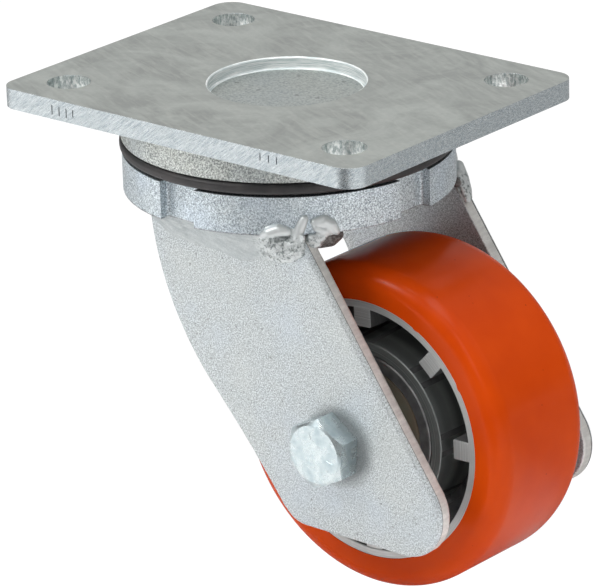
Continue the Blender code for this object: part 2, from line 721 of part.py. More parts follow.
def build():
    """Model the whole castor."""
    clear_scene()
    group = bpy.data.collections.new("swivel_castor")
    bpy.context.scene.collection.children.link(group)

    zinc = material("zinc_plate", (0.47, 0.50, 0.48), 0.45, 0.9)
    cast = material("zinc_cast", (0.58, 0.62, 0.64), 0.55, 0.8)
    bright = material("zinc_bolt", (0.62, 0.68, 0.72), 0.28, 1.0)
    weld = material("weld_metal", (0.66, 0.68, 0.70), 0.3, 0.95)
    steel = material("hardened_steel", (0.50, 0.50, 0.52), 0.25, 1.0)
    rubber = material("seal_rubber", (0.03, 0.03, 0.035), 0.55, 0.0)
    orange = material("orange_tread", (0.62, 0.10, 0.01), 0.32, 0.0)
    core = material("cast_core", (0.36, 0.38, 0.40), 0.42, 0.9)
    shield = material("bearing_shield", (0.30, 0.27, 0.20), 0.4, 0.9)

    swivel = new_object("swivel_axis", None, group)
    axle = new_object("axle_axis", None, group)
    place(axle, swivel, (AXLE_X, 0, AXLE_Z), (math.radians(-90), 0, 0))
    wheel = place(new_object("wheel_axis", None, group), axle)

    top_plate(group, zinc)
    swivel_race("swivel_race_upper", BOSS_BOTTOM + RACE_THICKNESS, BOSS_BOTTOM, group, steel)
    swivel_seal(group, rubber)
    kingpin(group, steel)
    kingpin_nut(group, cast)
    swivel_cone(group, steel)

    race_top = CROWN_TOP - GAP
    for piece in (
        fork_crown(group, cast),
        swivel_race("swivel_race_fork", race_top, race_top - RACE_THICKNESS, group, steel),
        swivel_cup(group, steel),
    ):
        place(piece, swivel)
    for side_name, side in SIDES:
        fork_leg(side_name, side, group, swivel, cast)
        outer_weld(side_name, side, group, swivel, weld)
        inner_weld(side_name, side, group, swivel, weld)

    for level, count, pitch, radius, cage, z in (
        ("upper", UPPER_BALL_COUNT, UPPER_BALL_PITCH, UPPER_BALL_RADIUS, UPPER_CAGE, UPPER_BALL_Z),
        ("lower", LOWER_BALL_COUNT, LOWER_BALL_PITCH, LOWER_BALL_RADIUS, LOWER_CAGE, LOWER_BALL_Z),
    ):
        balls = ball_set("swivel_balls_" + level, count, pitch, radius, cage, group)
        finish(place(balls, swivel, (0, 0, z)), steel)

    axle_bolt(group, axle, bright)
    axle_nut(group, axle, bright)
    tube_end = LEG_INNER - GAP
    sleeve("axle_tube", BOLT_RADIUS + GAP, TUBE_RADIUS, -tube_end, tube_end, group, axle, steel)
    for side_name, side in SIDES:
        near, far = side * (CORE_HALF_WIDTH + GAP), side * tube_end
        low, high = min(near, far), max(near, far)
        name = "axle_spacer_" + side_name
        sleeve(name, TUBE_RADIUS + GAP, SPACER_RADIUS, low, high, group, axle, steel)
        bearing(side_name, side, group, axle, wheel, {"race": steel, "ball": steel, "shield": shield})
    tyre(group, wheel, orange)
    wheel_core(group, wheel, core)


build()
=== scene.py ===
import math

import bmesh
import bpy
from mathutils import Matrix, Vector, noise


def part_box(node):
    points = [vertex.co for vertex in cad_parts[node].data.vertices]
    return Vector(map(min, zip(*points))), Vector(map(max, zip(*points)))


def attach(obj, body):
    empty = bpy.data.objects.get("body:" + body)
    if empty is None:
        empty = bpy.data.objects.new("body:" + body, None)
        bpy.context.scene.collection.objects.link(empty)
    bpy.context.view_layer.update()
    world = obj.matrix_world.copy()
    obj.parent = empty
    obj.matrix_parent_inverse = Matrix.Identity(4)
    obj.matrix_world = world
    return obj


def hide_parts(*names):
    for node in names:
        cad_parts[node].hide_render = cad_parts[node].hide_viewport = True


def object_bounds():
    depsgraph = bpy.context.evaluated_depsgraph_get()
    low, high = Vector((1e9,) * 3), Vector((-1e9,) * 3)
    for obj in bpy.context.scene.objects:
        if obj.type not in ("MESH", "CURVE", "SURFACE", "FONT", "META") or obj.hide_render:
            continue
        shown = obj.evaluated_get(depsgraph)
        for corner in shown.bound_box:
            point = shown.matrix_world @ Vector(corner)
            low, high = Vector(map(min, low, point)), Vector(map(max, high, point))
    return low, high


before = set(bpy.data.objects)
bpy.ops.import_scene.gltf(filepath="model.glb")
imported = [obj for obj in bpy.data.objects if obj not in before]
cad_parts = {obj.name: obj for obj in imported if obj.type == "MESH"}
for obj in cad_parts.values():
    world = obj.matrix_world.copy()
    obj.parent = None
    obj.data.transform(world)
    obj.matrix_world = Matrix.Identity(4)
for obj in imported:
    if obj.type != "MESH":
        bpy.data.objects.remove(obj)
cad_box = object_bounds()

MM = 0.001

# Camera: where it looks, how far it stands and how it leans
CAMERA_AZIMUTH = 40.28
CAMERA_ELEVATION = 20.37
CAMERA_ROLL = -1.72
CAMERA_DISTANCE = 1.4678
CAMERA_LENS = 299.5
CAMERA_AIM = Vector((0.01563, -0.01538, -0.05882))

# Places and sizes that the frame gives
PLATE_LOW, PLATE_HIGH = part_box("top_plate")
SEAL_LOW, SEAL_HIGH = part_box("swivel_seal")
CROWN_LOW, CROWN_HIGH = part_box("fork_crown")
LEG_LOW, LEG_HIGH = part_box("fork_leg_right")
NUT_LOW, NUT_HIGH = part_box("kingpin_nut")
BOLT_LOW, BOLT_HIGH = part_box("axle_bolt")
LOCK_LOW, LOCK_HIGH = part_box("axle_nut")
TYRE_LOW, TYRE_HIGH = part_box("tyre")
CORE_LOW, CORE_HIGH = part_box("wheel_core")
AXLE = (TYRE_LOW + TYRE_HIGH) / 2
WHEEL_RADIUS = (TYRE_HIGH.z - TYRE_LOW.z) / 2
TYRE_HALF = TYRE_HIGH.y
CORE_RADIUS = (CORE_HIGH.z - CORE_LOW.z) / 2
CORE_HALF = CORE_HIGH.y
FLOOR_Z = cad_box[0].z

# Top plate
PLATE_THICKNESS = 6.2 * MM
PLATE_CORNER = 6.5 * MM
HOLE_X, HOLE_Y = 52.5 * MM, 37.5 * MM
HOLE_RADIUS = 6.5 * MM
RECESS_RADIUS = 23.4 * MM
RECESS_DEPTH = 3.8 * MM
BOSS_RADIUS = 49.6 * MM
RACE_OUTER, RACE_INNER = 41.5 * MM, 30.5 * MM
RACE_DEPTH = 4.8 * MM
GAP = 0.3 * MM
PIN_POCKET, PIN_POCKET_TOP = 10.3 * MM, -6.7 * MM  # the kingpin's pocket: its radius and its end

# Nicks in the plate's left side: (x, top, length) in millimetres
NICKS = (
    (-46, -1.9, 2.9), (-43.2, -1.9, 2.9), (-40.4, -1.9, 2.9), (-37.8, -1.9, 2.3),
    (33.6, -1.2, 2.2), (36.7, -1.2, 2.2), (39.7, -1.2, 2.2),
)

# Crown ring and fork legs
CROWN_RADIUS = 49.4 * MM
CROWN_BOTTOM = LEG_HIGH.z + GAP
NOTCH_WIDTH, NOTCH_DEPTH = 13 * MM, 3.8 * MM
NOTCH_TURN = -1.85
NOTCH_SPAN = (-8.2, 5)  # millimetres: the near notch along X
HUB_RADIUS = 25 * MM
CUP_RADIUS = 22 * MM
LEG_THICKNESS = LEG_HIGH.y - LEG_LOW.y
REAR_ARC = ((65.2 * MM, -25.3 * MM), 89 * MM)
REAR_ARC_END = 222  # degrees: where the left leg's rear edge turns hollow
REAR_HOLLOW = 400 * MM
REAR_SLOPES = {"left": 216, "right": 209.7}
HEEL_ARC = ((33 * MM, -112.1 * MM), 9 * MM)
TOE_ARC = ((69.9 * MM, -107.5 * MM), 14 * MM)
FRONT_SLOPE = 34.3
BOLT_RADIUS = 6 * MM
HEXAGON = 19 * MM  # across the flats of the axle bolt and its nut

# Levels of a leg's edge: (inset, depth under the outer face, raggedness) in millimetres, and the
# number of the paint that starts there: 0 blasted, 1 torn edge, 2 seam, painted near black as shade in its
# groove
LEG_LEVELS = (
    (1.9, 0, 0, 0), (1.3, 0.05, 0, 0), (0.8, 0.2, 0, 0), (0.4, 0.45, 0, 0), (0.12, 0.8, 0, 0),
    (0.02, 1.2, 0.02, 2), (0.2, 1.3, 0.03, 2), (0.04, 1.45, 0.05, 1),
    *((0.02 + 0.012 * k, 1.42 + 0.47 * k, 0.10, 1) for k in range(1, 7)),
    (0.3, 4.8, 0.08, 0), (0.7, 5, 0, 0),
)

# Bearings, in millimetres: the rings' (radius, z, fillet) and the shields' (radius, depth)
BEARING_HALF = 7
RACES = {
    "outer": ((23.5, 7, 0.9), (23.5, -7, 0.9), (19.6, -7, 0.35), (19.6, -3, 0), (21, 0, 0), (19.6, 3, 0),
              (19.6, 7, 0.35)),
    "inner": ((14.1, 7, 0.3), (14.1, 3, 0), (12.7, 0, 0), (14.1, -3, 0), (14.1, -7, 0.3), (10.3, -7, 0.7),
              (10.3, 7, 0.7)),
}
SHIELD = ((19.3, 0), (19.3, 0.5), (18.2, 1.1), (15.6, 1.1), (14.5, 0.9), (14.5, 0.5), (15.8, 0.7), (18, 0.7),
          (18.7, 0))

# Outer welds, in millimetres: the fillet's upper and lower edges as (x, z), and the beads on it
FILLET_TOP = ((-22, -30.1), (6, -30.3), (17, -29.4), (24, -28.1), (29, -27), (32.5, -28.6), (36, -30))
FILLET_FOOT = ((-22, -37), (-13, -41), (3, -41.6), (12, -42.8), (20, -40.9), (28, -39.6), (34, -37.3),
               (36.3, -34.4))
HUMP = ((24.4, 42.4, -31.4, 1.1), (26.8, 41.6, -29.8, 1.7), (29.2, 40.2, -28.8, 1.9),
        (31.2, 38.8, -29.2, 1.4))
MOUND = ((24.5, 36.4, -35.4, 2.9), (28, 36.8, -34.8, 3.9), (32, 36.2, -34.2, 3.6))
RIM = ((17.8, 37, -36.8, 0.7), (21.1, 37.2, -38.4, 1), (26.7, 37.2, -39.2, 1.1), (32, 37.2, -37.8, 1.1),
       (35.2, 36.8, -35.6, 1))
CORNER = ((34, 35.8, -33.4, 1.3), (35.8, 33.8, -33.6, 1.4), (37.3, 32.2, -33.4, 1.3))
WELD_BEADS = {
    "left": (
        HUMP, MOUND, RIM, CORNER,
        ((34.9, 35.2, -25.6, 1.2), (34.1, 36, -28, 1.6), (33.5, 36.8, -30.8, 1.6), (33.2, 37.2, -32.6, 1.2)),
        ((37, 33, -26.9, 1.4), (38.5, 31, -26.7, 2), (39.8, 29.2, -28, 1.8), (40.4, 28, -30.2, 1.4)),
        ((37.4, 32.8, -28.4, 1.3), (38.4, 31, -29.4, 1.9), (39.2, 29.4, -30.4, 1.5)),
        ((36.4, 34.2, -31.6, 1.5), (37.6, 32.4, -32, 1.5), (38.4, 31, -31.2, 1.5)),
    ),
    "right": (
        HUMP, MOUND, RIM,
        ((35.2, 35.9, -29.6, 1.8), (36.9, 35.7, -33, 2), (38.3, 35.3, -36.2, 2), (39.6, 34.8, -38.2, 1.3)),
        ((37, 33.2, -31.2, 1.6), (39.4, 32.7, -35.2, 1.5), (40.6, 33, -38.2, 1.2)),
    ),
}
INNER_BEAD = {
    "left": ((32, 29.6, -32.4, 2.6), (36, 30, -32.6, 3.2), (38.4, 28.4, -32.4, 2.9), (39.8, 26.4, -32, 1.8)),
    "right": ((31, 30, -31.8, 1.8), (36, 30.4, -32, 1.9), (38.6, 30.8, -32.8, 1.4)),
}

# The pitted end of the outer weld, in millimetres: its (x, z) middle and size, and how far out it starts
PIT_MIDDLE, PIT_SIZE = (28.8, -34.4), (6.6, 3.7)
PIT_NEAREST = 37.6

# Sky brightness by elevation in degrees
SKY = ((-90, 0.5), (0, 0.20), (12, 0.22), (32, 0.36), (50, 0.72), (90, 1.15))

# Ground cards: (azimuth from, to, nearest, farthest in metres, tone)
CARDS = (
    (-75, -3, 0, 1.2, 0.95), (-3, 45, 0, 0.22, 0.85), (-3, 45, 0.22, 1.2, 0.05),
    (45, 115, 0, 1.2, 0.95), (115, 285, 0, 1.2, 0.42),
)

# Lamps: (name, azimuth, elevation, distance and width in metres, watts, height over width)
LAMPS = (
    ("key", -34, 40, 1.5, 0.45, 6.2, 1),
    ("high", -10, 64, 1.5, 1.2, 3.6, 1),
    ("top", 20, 82, 1.3, 0.9, 6, 1),
    ("strip", 33, 30, 1.75, 0.1, 2.2, 10),
    ("back", 215, 26, 1.6, 1.2, 2, 1),
    ("fill", 120, 35, 1.8, 1.2, 1, 1),
)

SIDES = (("left", -1), ("right", 1))
ALONG_AXLE = Matrix.Rotation(math.radians(-90), 4, "X")


# ---------------------------------------------------------------- mesh tools

def new_object(name, data, materials=()):
    """An object for a mesh or other data, with its materials."""
    obj = bpy.data.objects.new(name, data)
    bpy.context.scene.collection.objects.link(obj)
    for mat in materials:
        data.materials.append(mat)
    return obj


def from_shape(name, shape, materials=()):
    """An object from a bmesh, which is then gone."""
    mesh = bpy.data.meshes.new(name)
    shape.to_mesh(mesh)
    shape.free()
    return new_object(name, mesh, materials)


def evaluated(obj):
    """A new mesh of an object as its modifiers leave it."""
    bpy.context.view_layer.update()
    depsgraph = bpy.context.evaluated_depsgraph_get()
    return bpy.data.meshes.new_from_object(obj.evaluated_get(depsgraph))


def modify(obj, kind, **settings):
    """Apply a modifier to an object's mesh."""
    modifier = obj.modifiers.new(kind, kind)
    for key, value in settings.items():
        setattr(modifier, key, value)
    mesh = evaluated(obj)
    obj.modifiers.clear()
    obj.data = mesh
    return obj


def smooth(obj, angle):
    """Shade an object smooth, with its flat faces kept flat beside their rounded edges."""
    obj.data.shade_smooth()
    obj.data.set_sharp_from_angle(angle=math.radians(angle))
    return modify(obj, "WEIGHTED_NORMAL", keep_sharp=True, weight=90)


def combine(obj, other, operation):
    """Join an object with another one, or cut it by that one, which is then gone."""
    modify(obj, "BOOLEAN", operation=operation, solver="EXACT", object=other)
    bpy.data.objects.remove(other)


def joined(name, pieces):
    """One object from several separate ones, which are then gone."""
    shape = bmesh.new()
    for piece in pieces:
        shape.from_mesh(piece.data)
    obj = from_shape(name, shape, [slot.material for slot in pieces[0].material_slots])
    for piece in pieces:
        bpy.data.objects.remove(piece)
    return obj


def bevel(obj, width, segments=3, angle=40):
    """Round an object's sharp edges."""
    limit = math.radians(angle)
    modify(obj, "BEVEL", width=width, segments=segments, limit_method="ANGLE", angle_limit=limit)


def arc(centre, radius, start, end, steps):
    """Points on an arc from one angle to another, in degrees, both ends included."""
    points = []
    for i in range(steps + 1):
        angle = math.radians(start + (end - start) * i / steps)
        points.append((centre[0] + radius * math.cos(angle), centre[1] + radius * math.sin(angle)))
    return points


def circle(centre, radius, steps):
    """A circle's outline."""
    return arc(centre, radius, 0, 360, steps)[:-1]


def rounded(corners, segments=5):
    """A closed profile from (radius, z, fillet) corners, each rounded by its own fillet."""
    points = []
    for i, (radius, z, fillet) in enumerate(corners):
        here = Vector((radius, z))
        if fillet == 0:
            points.append((radius, z))
            continue
        before = (Vector(corners[i - 1][:2]) - here).normalized()
        after = (Vector(corners[(i + 1) % len(corners)][:2]) - here).normalized()
        half = before.angle(after) / 2
        centre = here + (before + after).normalized() * fillet / math.sin(half)
        start = here + before * fillet / math.tan(half) - centre
        sweep = math.copysign(math.pi - 2 * half, before.y * after.x - before.x * after.y)
        for k in range(segments + 1):
            turn = Matrix.Rotation(sweep * k / segments, 2)
            points.append(tuple(centre + turn @ start))
    return points


def sleeve(outer, inner, low, high, fillets, taper=0):
    """A ring's profile, with fillets in millimetres from its outer top edge round to its inner one."""
    corners = ((outer, high), (outer - taper, low), (inner, low), (inner, high))
    return rounded([(*corner, fillet * MM) for corner, fillet in zip(corners, fillets)])


def lathe(name, profile, steps, materials=(), wobble=None):
    """A solid turned about its own Z from a closed (radius, z) profile.

    Neighbouring points on the axis become one. wobble may move a point: it gets
    the point's number, its angle and its (radius, z), and gives a new (radius, z).
    """
    shape = bmesh.new()
    rings = []
    poles = {}
    for j in range(steps):
        turn = math.tau * j / steps
        ring = []
        for i, (radius, z) in enumerate(profile):
            if radius < 1e-7:
                if i not in poles:
                    poles[i] = shape.verts.new((0, 0, z))
                ring.append(poles[i])
                continue
            if wobble:
                radius, z = wobble(i, turn, radius, z)
            ring.append(shape.verts.new((radius * math.cos(turn), radius * math.sin(turn), z)))
        rings.append(ring)
    for here, there in zip(rings, rings[1:] + rings[:1]):
        for i in range(len(profile)):
            k = (i + 1) % len(profile)
            corners = list(dict.fromkeys((here[i], here[k], there[k], there[i])))
            if len(corners) > 2:
                shape.faces.new(corners)
    bmesh.ops.recalc_face_normals(shape, faces=shape.faces)
    return from_shape(name, shape, materials)


def skin(shape, rings):
    """Close a solid round rings of points. Gives its rows of faces, without the two end faces."""
    rows = []
    for ring, following in zip(rings, rings[1:]):
        row = []
        for i in range(len(ring)):
            j = (i + 1) % len(ring)
            row.append(shape.faces.new((ring[i], ring[j], following[j], following[i])))
        rows.append(row)
    shape.faces.new(rings[0])
    shape.faces.new(rings[-1])
    bmesh.ops.recalc_face_normals(shape, faces=shape.faces)
    return rows


def slab(name, outlines, thickness, materials):
    """A plate of even thickness about the XY plane, from an outline and its holes' outlines."""
    curve = bpy.data.curves.new(name, "CURVE")
    curve.dimensions = "2D"
    curve.fill_mode = "BOTH"
    curve.extrude = thickness / 2
    for outline in outlines:
        spline = curve.splines.new("POLY")
        spline.points.add(len(outline) - 1)
        for point, (x, y) in zip(spline.points, outline):
            point.co = (x, y, 0, 1)
        spline.use_cyclic_u = True
    source = new_object(name + "_outline", curve)
    mesh = evaluated(source)
    bpy.data.objects.remove(source)
    shape = bmesh.new()
    shape.from_mesh(mesh)
    bmesh.ops.remove_doubles(shape, verts=shape.verts, dist=0.001 * MM)
    flat = [edge for edge in shape.edges if any(abs(face.normal.z) > 0.9 for face in edge.link_faces)]
    bmesh.ops.dissolve_limit(shape, angle_limit=math.radians(1), verts=[], edges=flat)
    bmesh.ops.recalc_face_normals(shape, faces=shape.faces)
    return from_shape(name, shape, materials)


def block(name, low, high):
    """A box between two corners, for cutting and for small raised marks."""
    low, high = Vector(low), Vector(high)
    shape = bmesh.new()
    bmesh.ops.create_cube(shape, size=1)
    bmesh.ops.scale(shape, vec=high - low, verts=shape.verts)
    bmesh.ops.translate(shape, vec=(low + high) / 2, verts=shape.verts)
    return from_shape(name, shape)


def move(obj, matrix):
    """Bake a placement into an object's mesh."""
    obj.data.transform(matrix)
    return obj


def rotation(degrees, axis="Z"):
    """A turn about an axis."""
    return Matrix.Rotation(math.radians(degrees), 4, axis)


def paint_faces(obj, rule):
    """Give each face the material number that the rule works out from its centre and normal."""
    for polygon in obj.data.polygons:
        polygon.material_index = rule(polygon.center, polygon.normal)


def install(obj, body, node, angle=None, on_axle=False):
    """Let a finished piece ride on its body, in place of its CAD node.

    Edges up to the angle, in degrees, are shaded smooth. on_axle turns an object made
    about Z so that it lies along the axle, with its origin on the axle.
    """
    if angle:
        smooth(obj, angle)
    if on_axle:
        obj.matrix_world = Matrix.Translation((AXLE.x, 0, AXLE.z)) @ ALONG_AXLE
    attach(obj, body)
    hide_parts(node)


# ---------------------------------------------------------------- materials

def shader_node(tree, kind, output, inputs, **settings):
    """One output of a new shader node. An input is a constant or another node's output."""
    made = tree.nodes.new("ShaderNode" + kind)
    for key, value in settings.items():
        setattr(made, key, value)
    for key, value in inputs.items():
        if isinstance(value, bpy.types.NodeSocket):
            tree.links.new(value, made.inputs[key])
        elif made.inputs[key].type == "RGBA":
            made.inputs[key].default_value = (*value, 1)
        else:
            made.inputs[key].default_value = value
    return made.outputs[output]


class Paint:
    """A node-based material. Lengths are in millimetres of the object's own coordinates."""

    def __init__(self, name, metallic=0.0, **sockets):
        self.mat = bpy.data.materials.new(name)
        self.mat.use_nodes = True
        self.tree = self.mat.node_tree
        self.shader = self.tree.nodes["Principled BSDF"]
        self.tone = None
        for socket, value in {"Metallic": metallic, **sockets}.items():
            self.shader.inputs[socket.replace("_", " ")].default_value = value
        self.position = self.scale(self.node("TexCoord", "Object", {}), (1000, 1000, 1000))

    def node(self, *wanted, **settings):
        """One output of a new node in this material."""
        return shader_node(self.tree, *wanted, **settings)

    def scale(self, vector, factors, turn=(0, 0, 0)):
        """Stretch a vector, after turning it."""
        return self.node("Mapping", "Vector", {"Vector": vector, "Scale": factors, "Rotation": turn})

    def noise(self, size, detail=3, rough=0.5, bend=0.0, stretch=(1, 1, 1), turn=(0, 0, 0)):
        """A noise whose blobs are about size long, or size times 1/stretch along each axis."""
        turned = self.scale(self.position, (1, 1, 1), [math.radians(angle) for angle in turn])
        vector = self.scale(turned, [s / size for s in stretch])
        inputs = {"Vector": vector, "Scale": 1.0, "Detail": detail, "Roughness": rough, "Distortion": bend}
        return self.node("TexNoise", "Fac", inputs)

    def rings(self, scale, detail, pitch=None):
        """A noise that changes only with the distance from the object's own Z axis."""
        radius = self.radius()
        if pitch:
            radius = self.node("Math", "Value", {0: radius, 1: pitch}, operation="DIVIDE")
        return self.node("TexNoise", "Fac", {"W": radius, "Scale": scale, "Detail": detail},
                         noise_dimensions="1D")

    def cells(self, size):
        """The distance to the nearest of scattered points about size apart."""
        vector = self.scale(self.position, (1 / size, 1 / size, 1 / size))
        return self.node("TexVoronoi", "Distance", {"Vector": vector, "Scale": 1.0, "Randomness": 1.0})

    def axis(self, name):
        """One of the object's own coordinates."""
        return self.node("SeparateXYZ", name, {"Vector": self.position})

    def radius(self):
        """Distance from the object's own Z axis."""
        return self.length(self.scale(self.position, (1, 1, 0)))

    def length(self, vector):
        """A vector's length."""
        return self.node("VectorMath", "Value", {0: vector}, operation="LENGTH")

    def span(self, value, low, high, start=0.0, end=1.0):
        """A value between low and high, turned into one between start and end, with its ends held."""
        limits = {"From Min": low, "From Max": high, "To Min": start, "To Max": end}
        return self.node("MapRange", "Result", {"Value": value, **limits})

    def product(self, first, second):
        """Two values multiplied."""
        return self.node("Math", "Value", {0: first, 1: second}, operation="MULTIPLY")

    def mix(self, factor, first, second):
        """A colour between two colours."""
        return self.node("Mix", 2, {0: factor, 6: first, 7: second}, data_type="RGBA")

    def base(self, mask, low, high, dark, light):
        """Start the colour: it goes from dark to light as the mask goes from low to high."""
        self.tone = self.mix(self.span(mask, low, high), dark, light)

    def coat(self, mask, low, high, strength, colour):
        """Lay a colour over the tone, up to a strength, as the mask goes from low to high."""
        self.tone = self.mix(self.span(mask, low, high, 0, strength), self.tone, colour)

    def done(self, mask, roughness, *layers, limits=(0.3, 0.7)):
        """Join tone, roughness and bump to the shader, and give the material.

        The roughness is a pair that the mask runs between. Each layer is a
        (height value, millimetres) pair, stacked under the shader's normal.
        """
        self.tree.links.new(self.tone, self.shader.inputs["Base Color"])
        self.tree.links.new(self.span(mask, *limits, *roughness), self.shader.inputs["Roughness"])
        normal = {}
        for height, depth in layers:
            inputs = {"Height": height, "Strength": 1.0, "Distance": depth * MM, **normal}
            normal = {"Normal": self.node("Bump", "Normal", inputs)}
        self.tree.links.new(normal["Normal"], self.shader.inputs["Normal"])
        return self.mat


def shade(colour, factors):
    """A colour times another colour."""
    return tuple(a * b for a, b in zip(colour, factors))


def plate_top_paint():
    """Flat zinc sheet: mottled grey-green, wiped in long faint swirls, with fine scratches."""
    paint = Paint("zinc_plate_top", metallic=0.8)
    patches = paint.noise(30, 5, 0.6, bend=1.6)
    wiped = paint.noise(13, bend=0.8, stretch=(1, 6, 1), turn=(0, 0, 24))
    grain = paint.noise(1.4, rough=0.55)
    hairs = paint.noise(12, 2, stretch=(1, 50, 1), turn=(0, 0, -18))
    paint.base(patches, 0.38, 0.64, (0.31, 0.325, 0.31), (0.43, 0.455, 0.43))
    paint.coat(wiped, 0.45, 0.7, 0.55, (0.48, 0.50, 0.47))
    paint.coat(grain, 0.35, 0.7, 0.22, (0.26, 0.28, 0.275))
    paint.coat(hairs, 0.69, 0.74, 0.5, (0.62, 0.64, 0.62))
    return paint.done(patches, (0.5, 0.4), (patches, 0.06), (wiped, 0.03), (hairs, 0.008))


def plate_edge_paint():
    """The plate's sawn and tumbled edge: bright, with slanting drawn streaks."""
    paint = Paint("zinc_plate_edge", metallic=0.9)
    streaks = paint.noise(3.4, 4, 0.6, bend=0.4, stretch=(1, 3, 9), turn=(0, 38, 0))
    fine = paint.noise(1.4, rough=0.6, stretch=(1, 4, 10), turn=(0, 38, 0))
    blots = paint.noise(9)
    paint.base(streaks, 0.3, 0.7, (0.33, 0.38, 0.41), (0.64, 0.68, 0.69))
    paint.coat(blots, 0.45, 0.7, 0.35, (0.48, 0.52, 0.53))
    paint.coat(fine, 0.52, 0.7, 0.45, (0.30, 0.34, 0.37))
    return paint.done(fine, (0.2, 0.34), (streaks, 0.10), (fine, 0.05))


def grain_paint(name, dark, light, metallic=0.7, depth=0.05, size=0.5, shade_line_z=None, scuff_and_shadow=None):
    """Shot-blasted steel under zinc: a fine bright grain with slow changes of tone.

    Below the given height the metal darkens to red-brown: painted shade along its lower edge. Round the
    given (x, z) place in millimetres the metal is darker: partly a scuff that the tightened bolt head
    rubbed, partly a painted shadow of that head.
    """
    paint = Paint(name, metallic=metallic)
    fine = paint.noise(size, 2, 0.7)
    coarse = paint.noise(size * 3.1, 2)
    slow = paint.noise(20)
    wear_and_shadow = shade(light, (0.3, 0.3, 0.3))
    paint.base(fine, 0.38, 0.62, dark, light)
    paint.coat(slow, 0.5, 0.72, 0.35, shade(light, (0.78, 0.83, 0.92)))
    paint.coat(slow, 0.5, 0.32, 0.25, shade(light, (0.84, 0.82, 0.77)))
    paint.coat(paint.cells(size * 9), 0.12, 0.07, 0.6, wear_and_shadow)
    # Partly a scuff and partly painted shadow: the metal darkens round the bolt head.
    if scuff_and_shadow:
        place = {0: paint.position, 1: (scuff_and_shadow[0], 0, scuff_and_shadow[1])}
        offset = paint.node("VectorMath", "Vector", place, operation="SUBTRACT")
        paint.coat(paint.length(paint.scale(offset, (1, 0, 1))), 13.5, 9.5, 0.85, wear_and_shadow)
    # Painted shade: below the given height the metal turns dark red-brown, a dark line along the lower edge.
    if shade_line_z is not None:
        paint.coat(paint.axis("Z"), shade_line_z + 0.7, shade_line_z, 0.85, (0.10, 0.055, 0.045))
    return paint.done(fine, (0.62, 0.42), (coarse, depth), (fine, depth))


def cut_edge_paint():
    """A leg's torn punched edge: grey with a warm tint that is a painted reflection of the orange tyre, with
    ridges across the plate.
    """
    paint = Paint("zinc_cut_edge", metallic=0.7)
    ridges = paint.noise(1.5, rough=0.6, stretch=(1, 0.14, 1))
    fine = paint.noise(0.6, rough=0.65)
    # Painted reflection: the warm tint stands for the orange tyre mirrored in the edge.
    paint.base(ridges, 0.3, 0.7, (0.64, 0.625, 0.60), (0.88, 0.87, 0.84))
    paint.coat(fine, 0.42, 0.66, 0.6, (0.66, 0.66, 0.64))
    return paint.done(ridges, (0.48, 0.62), (ridges, 0.06), (fine, 0.04))


def turned_paint(name, dark, light, metallic=0.6):
    """A lathe-turned face: fine rings about the object's own Z axis."""
    paint = Paint(name, metallic=metallic)
    rings = paint.rings(1.0, 2.0, pitch=0.35)
    cloud = paint.noise(6)
    paint.base(rings, 0.3, 0.7, dark, light)
    paint.coat(cloud, 0.4, 0.7, 0.35, dark)
    return paint.done(cloud, (0.4, 0.52), (rings, 0.012), (cloud, 0.03))


def band_paint():
    """The recess's turned wall: machined metal whose near-white, barely metallic colour is partly a painted
    reflection of the overhead light, with fine level tool marks.
    """
    paint = Paint("zinc_turned_wall", metallic=0.2)
    lines = paint.noise(7, rough=0.6, stretch=(1, 1, 26))
    # Painted reflection: the near-white tone stands in part for the overhead light mirrored in the wall.
    paint.base(lines, 0.38, 0.62, (0.52, 0.60, 0.60), (0.95, 0.97, 0.96))
    paint.coat(paint.noise(5), 0.45, 0.7, 0.4, (0.66, 0.72, 0.73))
    return paint.done(lines, (0.34, 0.5), (lines, 0.05))


def wall_paint():
    """Punched hole walls: torn, sparkling zinc."""
    paint = Paint("zinc_hole_wall", metallic=0.85)
    torn = paint.noise(1.0, rough=0.7, stretch=(1, 1, 0.5))
    paint.base(torn, 0.38, 0.62, (0.34, 0.40, 0.40), (0.95, 0.97, 0.95))
    return paint.done(torn, (0.5, 0.28), (torn, 0.18))


def weld_paint():
    """Weld metal: dressed smooth with faint strokes at the rear, bright beads and pits at the front."""
    paint = Paint("zinc_weld", metallic=0.55)
    strokes = paint.noise(6, stretch=(1, 5, 5), turn=(0, -24, 0))
    pits = paint.noise(1.1, rough=0.65)
    grain = paint.noise(0.5, 2, 0.65)
    front = paint.span(paint.axis("X"), 17, 24)
    low = paint.span(paint.axis("Z"), -30, -31.6)
    paint.base(strokes, 0.3, 0.7, (0.46, 0.50, 0.51), (0.64, 0.67, 0.67))
    paint.coat(grain, 0.38, 0.64, 0.4, (0.34, 0.37, 0.38))
    spots = paint.product(paint.span(pits, 0.5, 0.4), low)
    bright = paint.mix(spots, (0.68, 0.71, 0.71), (0.26, 0.29, 0.29))
    paint.tone = paint.mix(front, paint.tone, bright)
    pitted = paint.product(pits, low)
    return paint.done(front, (0.55, 0.42), (strokes, 0.05), (grain, 0.02), (pitted, 0.06), limits=(0, 1))


def shaded_weld_paint():
    """The unbrushed weld inside the fork: dull and grainy, its dark brown a painted shade for the shadow
    between the legs.
    """
    paint = Paint("weld_painted_shade", metallic=0.6)
    grain = paint.noise(0.7, rough=0.65)
    cloud = paint.noise(4)
    # Painted shade: the dark brown tones stand for the shadow inside the fork.
    paint.base(grain, 0.36, 0.64, (0.075, 0.06, 0.055), (0.26, 0.24, 0.23))
    paint.coat(cloud, 0.5, 0.72, 0.5, (0.34, 0.33, 0.32))
    return paint.done(cloud, (0.55, 0.42), (grain, 0.08))


